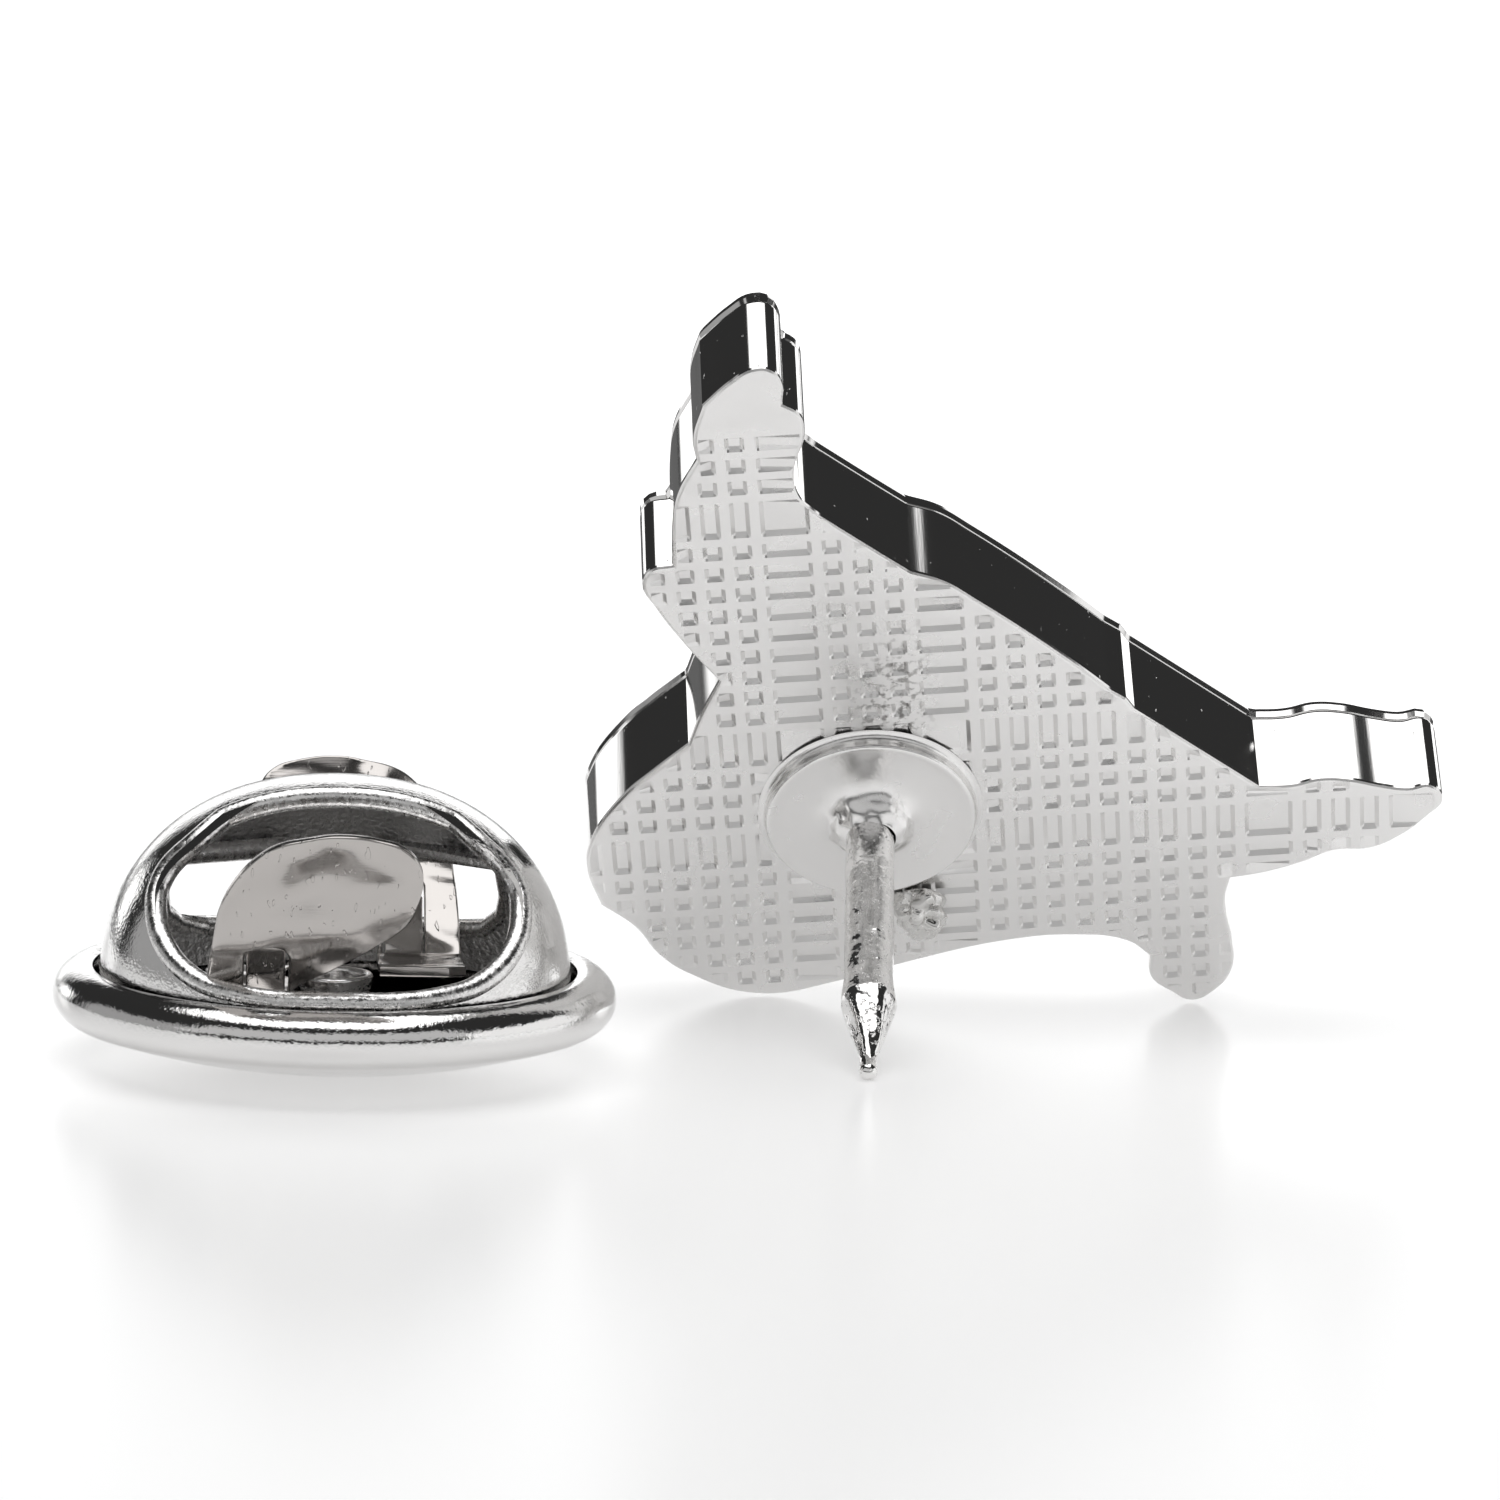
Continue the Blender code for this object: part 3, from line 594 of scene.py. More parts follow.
def polished_nickel(colours):
    """Pressed brass, barrel-polished and nickel plated: a warm mirror whose edges of shade are grainy."""
    material, tree, shader, place = new_metal("polished_nickel_plate", colours.nickel, 0.09)
    fine = grain(tree, place, 0.09, detail=3)
    waves = grain(tree, place, 1.1, detail=2)
    patches = grain(tree, place, 0.5, detail=5)
    roughness = ramp(tree, patches, 0.35, 0.65, 0.04, 0.09)
    surface(tree, shader, [(fine, 0.009, 0.8), (waves, 0.035, 0.6)], roughness)
    return material


def dragged_nickel(colours):
    """The rolled lips of the windows: nickel over brass that the tools dragged, so satin."""
    material, tree, shader, place = new_metal("dragged_nickel_plate", colours.nickel, 0.26)
    drag = grain(tree, place, 0.12, detail=3)
    surface(tree, shader, [(drag, 0.02, 0.8)], ramp(tree, drag, 0.35, 0.65, 0.16, 0.34))
    return material


def pressed_nickel(colours):
    """Inside of the dome, which no tumbling reaches: nickel over the coarse grain of drawn brass."""
    material, tree, shader, place = new_metal("pressed_nickel_plate", colours.nickel, 0.34)
    coarse = grain(tree, place, 0.11, detail=3)
    surface(tree, shader, [(coarse, 0.12, 1.0)])
    return material


def rolled_nickel(colours):
    """The wings: rolled spring steel, nickel plated, with faint rolling lines and handling scratches."""
    material, tree, shader, place = new_metal("rolled_nickel_steel", colours.wing, 0.2)
    lines = grain(tree, place, 0.05, detail=3, stretch=(0.08, 1, 1))
    waves = grain(tree, place, 1.7, detail=1)
    scratches = ramp(tree, grain(tree, place, 0.12, detail=1, stretch=(1, 0.1, 0.4)), 0.66, 0.7)
    reliefs = [(lines, 0.003, 0.5), (waves, 0.5, 1.0), (scratches, 0.012, 0.8)]
    surface(tree, shader, reliefs, ramp(tree, waves, 0.3, 0.7, 0.14, 0.24))
    return material


# Badge


def inward_samples(sizes):
    """Closely spaced points on the outline, each with the direction into the badge."""
    loop = outline_points(badge_outline())
    area = sum(a.x * b.y - b.x * a.y for a, b in zip(loop, loop[1:] + loop[:1]))
    side = 1 if area > 0 else -1
    samples = []
    for a, b in zip(loop, loop[1:] + loop[:1]):
        along = b - a
        if along.length < WELD:
            continue
        inward = Vector((-along.y, along.x, 0)).normalized() * side
        pieces = max(1, int(along.length / sizes.sample_spacing))
        samples += [(a + along * i / pieces, inward) for i in range(pieces)]
    return samples


def nearest_sample(samples):
    tree = kdtree.KDTree(len(samples))
    for i, (point, _) in enumerate(samples):
        tree.insert(point, i)
    tree.balance()
    return tree


def badge_outline():
    return [(u * MM, v * MM, *(handle or [SMOOTH])) for u, v, *handle in OUTLINE]


def waffle_lines(direction, sizes):
    """Positions across the waffle with how deep each is, from 0 on a rib to 1 on a pocket's floor."""
    wide_middle, drawn_out, low, high = direction
    pitch = sizes.waffle_pitch * drawn_out
    period = sum(WAFFLE_ORDER) * pitch
    at = wide_middle - pitch
    while at > low:
        at -= period
    half_rib, slope = sizes.rib_width / 2, sizes.pocket_slope
    lines = []
    while at < high:
        for cells in WAFFLE_ORDER:
            end = at + cells * pitch
            if end > low and at < high:
                lines.append((at, 0.0))
                lines += [(at + half_rib + slope * s, s) for s in (0, 0.5, 1)]
                lines += [(end - half_rib - slope * s, s) for s in (1, 0.5, 0)]
            at = end
    return lines


def waffle_slab(sizes, deepest):
    """A slab whose top is the waffle: pockets between ribs, fading out towards the outline."""
    samples = inward_samples(sizes)
    tree = nearest_sample(samples)
    across = waffle_lines(WAFFLE_ACROSS, sizes)
    along = waffle_lines(WAFFLE_ALONG, sizes)
    turn = Matrix.Rotation(sizes.waffle_turn, 3, "Z")
    shape = bmesh.new()
    columns, rows = len(across) - 1, len(along) - 1
    bmesh.ops.create_grid(shape, x_segments=columns, y_segments=rows, size=0.5)
    margins = {}
    for vert in shape.verts:
        a, deep_a = across[round((vert.co.x + 0.5) * columns)]
        b, deep_b = along[round((vert.co.y + 0.5) * rows)]
        point = turn @ Vector((a, b, 0))
        nearest, i, distance = tree.find(point)
        inside = distance if (point - nearest).dot(samples[i][1]) > 0 else -distance
        margins[vert] = inside
        depth = sizes.pocket_depth * deep_a * deep_b
        depth *= smooth(inside, sizes.margin * 0.6, sizes.margin * 1.5)
        depth *= 1 - smooth(point.y, *HEAD_FADE)
        depth *= 1 - PAD_FILL * smooth(-point.length, -PAD_FADE[1], -PAD_FADE[0])
        depth *= 1 + WEAR[1] * noise.noise(point / WEAR[0])
        vert.co = point
        vert.co.z = -sizes.sink - depth + noise.noise(point / UNEVENNESS[0]) * UNEVENNESS[1]
    far = [f for f in shape.faces if max(margins[v] for v in f.verts) < -sizes.margin]
    bmesh.ops.delete(shape, geom=far, context="FACES")
    copied = bmesh.ops.extrude_face_region(shape, geom=shape.faces[:])["geom"]
    for vert in copied:
        if isinstance(vert, bmesh.types.BMVert):
            vert.co.z = deepest
    bmesh.ops.recalc_face_normals(shape, faces=shape.faces)
    return shape


def border_tube(sizes):
    """The raised border of the front: a round bead just inside the outline, cut short in tight tips."""
    samples = inward_samples(sizes)
    tree = nearest_sample(samples)
    half = sizes.border_width / 2
    path = []
    for point, inward in samples:
        middle = point + inward * half
        clear = tree.find(middle)[2] > half * INSET_TRUTH
        middle.z = half - sizes.thickness
        if clear and (not path or (middle - path[-1]).length > 2 * sizes.sample_spacing):
            path.append(middle)
    if (path[-1] - path[0]).length < sizes.sample_spacing:
        path.pop()
    return loft(path, half)


class TieTackBadgeSizes(bpy.types.PropertyGroup):
    """Sizes of the badge."""

    thickness: FloatProperty(
        name="Thickness", description="Badge, back to border", default=2.5 * MM, unit="LENGTH"
    )
    edge_rounding: FloatProperty(
        name="Edge rounding", description="Radius of the back's edge", default=0.1 * MM, unit="LENGTH"
    )
    border_width: FloatProperty(
        name="Border width", description="Raised border of the front", default=0.42 * MM, unit="LENGTH"
    )
    field_depth: FloatProperty(
        name="Field depth", description="Field below the border", default=0.35 * MM, unit="LENGTH"
    )
    waffle_pitch: FloatProperty(
        name="Waffle pitch", description="Rib to rib on the back", default=0.615 * MM, unit="LENGTH"
    )
    waffle_turn: FloatProperty(
        name="Waffle turn",
        description="How far the waffle is turned from the badge",
        default=math.radians(6.3),
        subtype="ANGLE",
    )
    rib_width: FloatProperty(
        name="Rib width", description="Flat top of a rib", default=0.21 * MM, unit="LENGTH"
    )
    pocket_slope: FloatProperty(
        name="Pocket slope", description="Width of a pocket's sloping wall", default=0.09 * MM, unit="LENGTH"
    )
    pocket_depth: FloatProperty(
        name="Pocket depth", description="Depth of a pocket", default=0.1 * MM, unit="LENGTH"
    )
    margin: FloatProperty(
        name="Margin", description="Plain margin round the waffle", default=0.22 * MM, unit="LENGTH"
    )
    sink: FloatProperty(
        name="Sink", description="Ribs below the rounded edge", default=0.003 * MM, unit="LENGTH"
    )
    sample_spacing: FloatProperty(
        name="Sample spacing", description="Of points on the outline", default=0.04 * MM, unit="LENGTH"
    )


class TIETACK_OT_badge(bpy.types.Operator):
    """Model the badge: waffled back, polished edge and a bordered front."""

    bl_idname = "tietack.badge"
    bl_label = "Badge"

    def execute(self, context):
        sizes = context.scene.tie_tack_badge
        colours = context.scene.tie_tack_finishes
        field = -sizes.thickness + sizes.field_depth
        body = plate("badge", [badge_outline()], field, 0, sizes.edge_rounding, 10)
        body = combined("badge_body", body, waffle_slab(sizes, 2 * field), "INTERSECT")
        if not body.faces:
            raise RuntimeError("the badge's back has no faces")
        bmesh.ops.recalc_face_normals(body, faces=body.faces)
        shape = joined(body, border_tube(sizes))

        def finish_of(face):
            height = face.calc_center_median().z
            if height > -1.5 * sizes.edge_rounding and face.normal.z > 0.5:
                return 0
            if abs(height - field) < 0.01 * MM and face.normal.z < -0.9:
                return 2
            return 1

        finished(
            "badge_plate",
            shape,
            tack_matrix(),
            [satin_rhodium(colours), polished_rhodium(colours), stippled_rhodium(colours)],
            "tack",
            ["badge"],
            finish_of,
            math.radians(14),
        )
        return {"FINISHED"}


# Nail


class TieTackNailSizes(bpy.types.PropertyGroup):
    """Sizes of the nail, its pad and the solder beside it."""

    nail_radius: FloatProperty(
        name="Nail radius", description="Shaft of the nail", default=0.52 * MM, unit="LENGTH"
    )
    shoulder_radius: FloatProperty(
        name="Shoulder radius", description="Where the point starts", default=0.585 * MM, unit="LENGTH"
    )
    point_length: FloatProperty(
        name="Point length", description="Shoulder to tip", default=2.1 * MM, unit="LENGTH"
    )
    tip_radius: FloatProperty(
        name="Tip radius", description="Blob at the tip", default=0.2 * MM, unit="LENGTH"
    )
    pad_radius: FloatProperty(name="Pad radius", description="Pad", default=2.25 * MM, unit="LENGTH")
    pad_thickness: FloatProperty(
        name="Pad thickness", description="Pad at its edge", default=0.3 * MM, unit="LENGTH"
    )
    collar_radius: FloatProperty(
        name="Collar radius", description="Weld round the nail", default=0.82 * MM, unit="LENGTH"
    )


class TIETACK_OT_nail(bpy.types.Operator):
    """Model the nail, its pad and collar, and the bead of solder beside the pad."""

    bl_idname = "tietack.nail"
    bl_label = "Nail"

    def execute(self, context):
        sizes = context.scene.tie_tack_nail
        colours = context.scene.tie_tack_finishes
        matrix = tack_matrix()
        self.make_pad(sizes, colours, matrix)
        self.make_nail(sizes, colours, matrix)
        self.make_bead(sizes, colours, matrix)
        return {"FINISHED"}

    def make_pad(self, sizes, colours, matrix):
        hole = sizes.nail_radius - 0.01 * MM
        bottom = 0.004 * MM
        top = SEAT_GAP + sizes.pad_thickness
        edge = 0.08 * MM
        face = top - 0.05 * MM
        profile = [(hole, bottom)]
        weld = ((0.0, 0.6), (0.06, 0.53), (0.14, 0.48))
        profile += [(hole + r * MM, face + lift * MM) for r, lift in weld]
        collar = ((-0.06, 0.38), (0.0, 0.26), (0.1, 0.12), (0.24, 0.04), (0.42, 0.0))
        profile += [(sizes.collar_radius + r * MM, face + lift * MM) for r, lift in collar]
        profile += [(r * MM, face + lift * MM) for r, lift in ((1.5, 0.0), (1.8, 0.004), (2.0, 0.02))]
        profile += [(sizes.pad_radius - 0.14 * MM, top - 0.012 * MM)]
        centre = (sizes.pad_radius - edge, top - edge)
        profile += arc(centre, edge, math.radians(90), math.radians(0), 5)
        foot = 0.17 * MM
        fillet = arc((sizes.pad_radius + foot, bottom + foot), foot, math.pi, 1.5 * math.pi, 6)
        profile += [(sizes.pad_radius, bottom + foot * 1.2)] + fillet
        shape = turned(profile, 144)
        for vert in shape.verts:
            if vert.co.z > face + 0.03 * MM and vert.co.xy.length < sizes.collar_radius + 0.3 * MM:
                vert.co += vert.co.normalized() * noise.noise(vert.co / (0.3 * MM)) * 0.045 * MM
        finished(
            "nail_pad", shape, matrix, [pressed_rhodium(colours)], "tack", ["post_pad"]
        )

    def make_nail(self, sizes, colours, matrix):
        tip = sizes.tip_radius
        point = NAIL_LENGTH - sizes.point_length
        profile = [(0, SEAT_GAP), (sizes.nail_radius, SEAT_GAP)]
        steps = 26
        start = 0.2 * MM
        end = point - 0.9 * MM
        profile += [(sizes.nail_radius, start + (end - start) * i / steps) for i in range(steps + 1)]
        for i in range(1, 9):
            share = i / 8
            radius = sizes.nail_radius + (sizes.shoulder_radius - sizes.nail_radius) * smooth(share, 0, 1)
            profile.append((radius, end + 0.9 * MM * share))
        neck = NAIL_LENGTH - 0.5 * MM
        for i in range(1, 17):
            share = i / 16
            radius = sizes.shoulder_radius + (0.85 * tip - sizes.shoulder_radius) * share**0.93
            profile.append((radius, point + (neck - point) * share))
        profile.append((0.95 * tip, neck + 0.1 * MM))
        centre = NAIL_LENGTH - tip
        profile += [(r, centre + z) for r, z in arc((0, 0), tip, math.radians(-20), math.radians(90), 9)]
        profile[-1] = (0, NAIL_LENGTH)
        shape = turned(profile, 72, closed=False)
        for vert in shape.verts:
            angle = math.atan2(vert.co.y, vert.co.x)
            along = vert.co.z
            taper = smooth(along, point - 0.3 * MM, point + 0.4 * MM)
            taper *= 1 - smooth(along, neck - 0.3 * MM, neck)
            facets = 1 + 0.06 * taper * math.cos(5 * angle + 2.2 * along / MM)
            lumps = noise.noise(Vector((angle * 0.9, math.sin(angle), along / (0.8 * MM)))) * 0.035
            vert.co.x *= facets + lumps
            vert.co.y *= facets + lumps
        lean = matrix @ Matrix.Rotation(-NAIL_LEAN, 4, "Y")
        finished("nail", shape, lean, [tumbled_rhodium(colours)], "tack", ["post"])

    def make_bead(self, sizes, colours, matrix):
        low, high = (Vector(corner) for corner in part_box("solder_bead"))
        centre = matrix.inverted() @ ((low + high) / 2)
        shape = bmesh.new()
        bmesh.ops.create_icosphere(shape, subdivisions=6, radius=1)
        turn = math.atan2(centre.y, centre.x)
        underside = -0.2 * MM
        for vert in shape.verts:
            direction = vert.co.copy()
            crumple = noise.turbulence(direction * 1.1 + Vector((3.1, 0, 0)), 2, True)
            fold = noise.noise(direction * 1.9 + Vector((7, 2, 1)))
            size = 0.82 + 0.3 * crumple + 0.25 * fold
            vert.co = Vector((direction.x * 0.7, direction.y * 0.58, direction.z * 0.55)) * size * MM
            if vert.co.z < underside:
                vert.co.z = underside + (vert.co.z - underside) * 0.05
        bmesh.ops.rotate(shape, verts=shape.verts, matrix=Matrix.Rotation(turn, 3, "Z"))
        lift = Vector((centre.x, centre.y, SEAT_GAP + 0.24 * MM))
        bmesh.ops.translate(shape, verts=shape.verts, vec=lift)
        bmesh.ops.recalc_face_normals(shape, faces=shape.faces)
        finished(
            "solder_splash", shape, matrix, [plated_solder(colours)], "tack", ["solder_bead"]
        )


# Clutch


def bowl_radius():
    reach = DISH_RADIUS - CURL_RADIUS
    return (reach**2 + RIM_HEIGHT**2 - CURL_RADIUS**2) / (2 * (RIM_HEIGHT - CURL_RADIUS))


def bowl_height(radius, inside=False):
    bowl = bowl_radius()
    sphere = bowl - DISH_WALL if inside else bowl
    return bowl - math.sqrt(sphere**2 - radius**2)


def dome_height(radius, whole=DOME_RADIUS, height=DOME_HEIGHT):
    """Height of the dome over the middle of the rim at this distance from the axis."""
    share = min(1, radius / whole)
    return height * (1 - share**DOME_SQUARENESS) ** (1 / DOME_SQUARENESS)


def dome_reach(height, whole=DOME_RADIUS, full=DOME_HEIGHT):
    share = min(1, max(0, height / full))
    return whole * (1 - share**DOME_SQUARENESS) ** (1 / DOME_SQUARENESS)


# Right half of each window, in millimetres from its middle and above the middle of the rim
FRONT_WINDOW = [
    (0, 0.68),
    (2.1, 0.73),
    (2.92, 0.93),
    (3.56, 1.47),
    (3.75, 2.05),
    (3.67, 2.59),
    (2.96, 3.4),
    (1.54, 4.32),
    (0, 4.84),
]
REAR_WINDOW = [
    (0, 0.7),
    (2.7, 0.7),
    (3.3, 0.82),
    (3.65, 1.2),
    (3.7, 1.7),
    (3.44, 2.5),
    (0, 2.5),
]
WINDOWS = ((FRONT_WINDOW, -1, SMOOTH), (REAR_WINDOW, 1, CORNER))
LIP_SPACING = 0.06 * MM
LIP_CLOSING = 0.05 * MM


def window_outline(right, handle):
    points = [(x * MM, z * MM) for x, z in right]
    points += [(-x, z) for x, z in reversed(points[1:-1])]
    return [(x, z, handle) for x, z in points]


def window_punch(outline, side):
    shape = plate("window", [outline], WINDOW_START, DISH_RADIUS + WINDOW_START, 0, SPAN_POINTS)
    turn = Matrix.Rotation(math.radians(90), 4, "X")
    if side > 0:
        turn = Matrix.Rotation(math.pi, 4, "Z") @ turn
    bmesh.ops.transform(
        shape, matrix=Matrix.Translation((0, 0, RIM_HEIGHT)) @ turn, verts=shape.verts
    )
    return shape


def window_lip(outline, side, radius):
    """The rolled lip round a window, on the middle of the dome's wall."""
    whole, full = DOME_RADIUS - DOME_WALL / 2, DOME_HEIGHT - DOME_WALL / 2
    path = []
    for point in outline_points(outline):
        x, z = point.x, point.y
        z = min(z, dome_height(math.hypot(x, WINDOW_START), whole, full))
        y = max(WINDOW_START, math.sqrt(max(0, dome_reach(z, whole, full) ** 2 - x * x)))
        path.append(Vector((x, side * y, RIM_HEIGHT + z)))
    spaced = [path[0]]
    for point in path[1:]:
        if (point - spaced[-1]).length > LIP_SPACING:
            spaced.append(point)
    if (spaced[-1] - spaced[0]).length < LIP_CLOSING:
        spaced.pop()
    return loft(spaced, radius)


class TieTackClutchSizes(bpy.types.PropertyGroup):
    """Sizes of the clutch's shell."""

    steps: IntProperty(name="Steps", description="Steps round a turned piece", default=176, min=24)
    lip_radius: FloatProperty(
        name="Lip radius", description="Rolled lip of a window", default=0.235 * MM, unit="LENGTH"
    )
    eyelet_radius: FloatProperty(
        name="Eyelet radius", description="Bore of the eyelet", default=0.64 * MM, unit="LENGTH"
    )
    eyelet_top: FloatProperty(
        name="Eyelet top", description="Above the table", default=1.9 * MM, unit="LENGTH"
    )


class TIETACK_OT_clutch(bpy.types.Operator):
    """Model the clutch's shell: dish with a rolled rim, windowed dome and eyelet."""

    bl_idname = "tietack.clutch"
    bl_label = "Clutch shell"

    def execute(self, context):
        sizes = context.scene.tie_tack_clutch
        colours = context.scene.tie_tack_finishes
        matrix = clutch_matrix()
        nickel = polished_nickel(colours)
        self.make_dish(sizes, nickel, matrix)
        self.make_dome(sizes, nickel, colours, matrix)
        self.make_eyelet(sizes, nickel, matrix)
        return {"FINISHED"}

    def make_dish(self, sizes, nickel, matrix):
        centre = (DISH_RADIUS - CURL_RADIUS, RIM_HEIGHT)
        meet = math.atan2(RIM_HEIGHT - bowl_radius(), centre[0])
        outer = arc(centre, CURL_RADIUS, CURL_END, meet, 30)
        inner = arc(centre, CURL_RADIUS - DISH_WALL, meet, CURL_END, 22)
        hole = DISH_HOLE_RADIUS
        radii = [outer[-1][0] + (hole - outer[-1][0]) * i / 14 for i in range(1, 15)]
        profile = outer + [(r, bowl_height(r)) for r in radii]
        profile += [(r, bowl_height(r, True)) for r in reversed(radii)] + inner
        shape = turned(profile, sizes.steps)
        finished("clutch_dish_shell", shape, matrix, [nickel], "clutch", ["clutch_dish"])

    def make_dome(self, sizes, nickel, colours, matrix):
        outer = []
        for i in range(33):
            radius = DOME_RADIUS * math.sin(math.pi / 2 * i / 32)
            outer.append((radius, RIM_HEIGHT + dome_height(radius)))
        outer[0] = (0, outer[0][1])
        foot = 0.11 * MM
        outer[-1] = (DOME_RADIUS, RIM_HEIGHT + foot)
        flange = DISH_RADIUS - CURL_RADIUS + 0.07 * MM
        profile = outer + [(flange, RIM_HEIGHT + foot), (flange, RIM_HEIGHT - foot)]
        whole, full = DOME_RADIUS - DOME_WALL, DOME_HEIGHT - DOME_WALL
        profile += [(whole, RIM_HEIGHT - foot)]
        inner = []
        for i in range(27):
            radius = whole * math.sin(math.pi / 2 * i / 26)
            inner.append((radius, RIM_HEIGHT + dome_height(radius, whole, full)))
        inner[0] = (0, inner[0][1])
        profile += inner[::-1]
        shape = turned(profile, sizes.steps, closed=False)
        for right, side, handle in WINDOWS:
            punch = window_punch(window_outline(right, handle), side)
            shape = combined("dome", shape, punch, "DIFFERENCE")
        bmesh.ops.recalc_face_normals(shape, faces=shape.faces)
        shell_faces = len(shape.faces)
        lips = [
            window_lip(window_outline(right, handle), side, sizes.lip_radius)
            for right, side, handle in WINDOWS
        ]
        shape = joined(shape, *lips)
        finishes = [nickel, pressed_nickel(colours), dragged_nickel(colours)]

        def finish_of(face):
            middle = face.calc_center_median() - Vector((0, 0, RIM_HEIGHT))
            if face.index >= shell_faces:
                return 2
            return 1 if face.normal.dot(middle) < 0 else 0

        shape.faces.index_update()
        finished("clutch_dome_shell", shape, matrix, finishes, "clutch", ["clutch_dome"], finish_of)

    def make_eyelet(self, sizes, nickel, matrix):
        bore = sizes.eyelet_radius
        wall = 0.16 * MM
        lip = wall / 2
        bottom = 0.06 * MM
        flange = 1.25 * MM
        fillet = 0.15 * MM
        seat = bowl_height(flange, True) + SEAT_GAP
        top = arc((bore + lip, sizes.eyelet_top - lip), lip, math.pi, 0, 8)
        profile = [(bore, bottom)] + top
        root = (bore + wall + fillet, seat + wall + fillet)
        profile += arc(root, fillet, math.pi, 1.5 * math.pi, 5)
        profile += [(1.2 * MM, seat + wall), (flange, seat + wall * 0.6), (flange, seat)]
        profile += [(bore + wall, seat), (bore + wall, bottom)]
        finished("eyelet", turned(profile, 96), matrix, [nickel], "clutch", ["guide_eyelet"])


# Wings


def wing_lean(s):
    if s <= 0:
        return math.pi / 2
    if s < BEND_LENGTH:
        return math.pi / 2 + (WING_ROOT_LEAN - math.pi / 2) * s / BEND_LENGTH
    share = (s - BEND_LENGTH) / (WING_LENGTH - BEND_LENGTH)
    return WING_ROOT_LEAN + (WING_TIP_LEAN - WING_ROOT_LEAN) * share


def tab_lean(s):
    if s <= 0:
        return math.pi / 2
    return math.pi / 2 + (TAB_LEAN - math.pi / 2) * min(1, s / TAB_BEND_LENGTH)


def folded(shape, lean, length, rows, columns=()):
    """Bends a flat blank so that its base plate lies level and the rest rises towards -Y."""
    for axis, cuts in ((1, rows), (0, columns)):
        normal = (0, 1, 0) if axis else (1, 0, 0)
        for at in cuts:
            geometry = shape.verts[:] + shape.edges[:] + shape.faces[:]
            point = (0, at, 0) if axis else (at, 0, 0)
            bmesh.ops.bisect_plane(shape, geom=geometry, plane_co=point, plane_no=normal, dist=1e-8)
    steps = 600
    step = length / steps
    path = [(0.0, 0.0)]
    for i in range(steps + 30):
        angle = lean((i + 0.5) * step)
        path.append((path[-1][0] + math.sin(angle) * step, path[-1][1] + math.cos(angle) * step))
    for vert in shape.verts:
        x, s, offset = vert.co
        offset += pressed(x, s)
        angle = lean(s)
        out, up = s, 0.0
        if s > 0:
            i = min(int(s / step), len(path) - 2)
            share = s / step - i
            out = path[i][0] + (path[i + 1][0] - path[i][0]) * share
            up = path[i][1] + (path[i + 1][1] - path[i][1]) * share
        vert.co = (x, -out + offset * math.cos(angle), up + offset * math.sin(angle))
    return shape


def pressed(x, s):
    """How far the press pushes the paddle out of its sheet: a soft belly and a crease below it."""
    across = (x - WING_LEFT) / WING_WIDTH
    along = s / WING_LENGTH
    aside = (across - BELLY_MIDDLE[0]) * BELLY_TIGHTNESS[0]
    above = (along - BELLY_MIDDLE[1]) * BELLY_TIGHTNESS[1]
    belly = 1 - smooth(math.hypot(aside, above), 0.1, 1.0)
    crease = 1 - smooth(abs(along - 0.5 - 0.22 * across), 0.0, 0.13)
    return PADDLE_BELLY * belly - PADDLE_CREASE * crease * smooth(along, 0.4, 0.5)


def wing_blank():
    right = WING_LEFT + STALK_WIDTH
    half_notch = math.acos(min(1, -right / JAW_NOTCH_RADIUS))
    notch = arc((0, -WING_HINGE_OFFSET), JAW_NOTCH_RADIUS, math.pi + half_notch, math.pi - half_notch, 16)
    corner = STALK_WIDTH / 5
    blank = corners([(WING_LEFT, -JAW_LENGTH + corner), (WING_LEFT + corner, -JAW_LENGTH)])
    blank += corners([(right, -JAW_LENGTH)] + [(x, s) for x, s in notch if s > -JAW_LENGTH])
    blank.append((right, 0, SMOOTH))
    blank += [(WING_LEFT + x * WING_WIDTH, s * WING_LENGTH, SMOOTH) for x, s in PADDLE]
    return blank


def arch_hole():
    half = ARCH_WIDTH / 2
    top = arc((ARCH_CENTRE, ARCH_HEIGHT - half), half, 0, math.pi, 20)
    hole = [(ARCH_CENTRE - half, BEND_LENGTH), (ARCH_CENTRE + half, BEND_LENGTH)] + top
    return corners(hole[::-1])


def tab_blank():
    half = TAB_WIDTH / 2
    corner = half / 4
    left, right = ARCH_CENTRE - half, ARCH_CENTRE + half
    return corners(
        [
            (left, -2 * BEND_LENGTH),
            (right, -2 * BEND_LENGTH),
            (right, TAB_LENGTH - corner),
            (right - corner, TAB_LENGTH),
            (left + corner, TAB_LENGTH),
            (left, TAB_LENGTH - corner),
        ]
    )


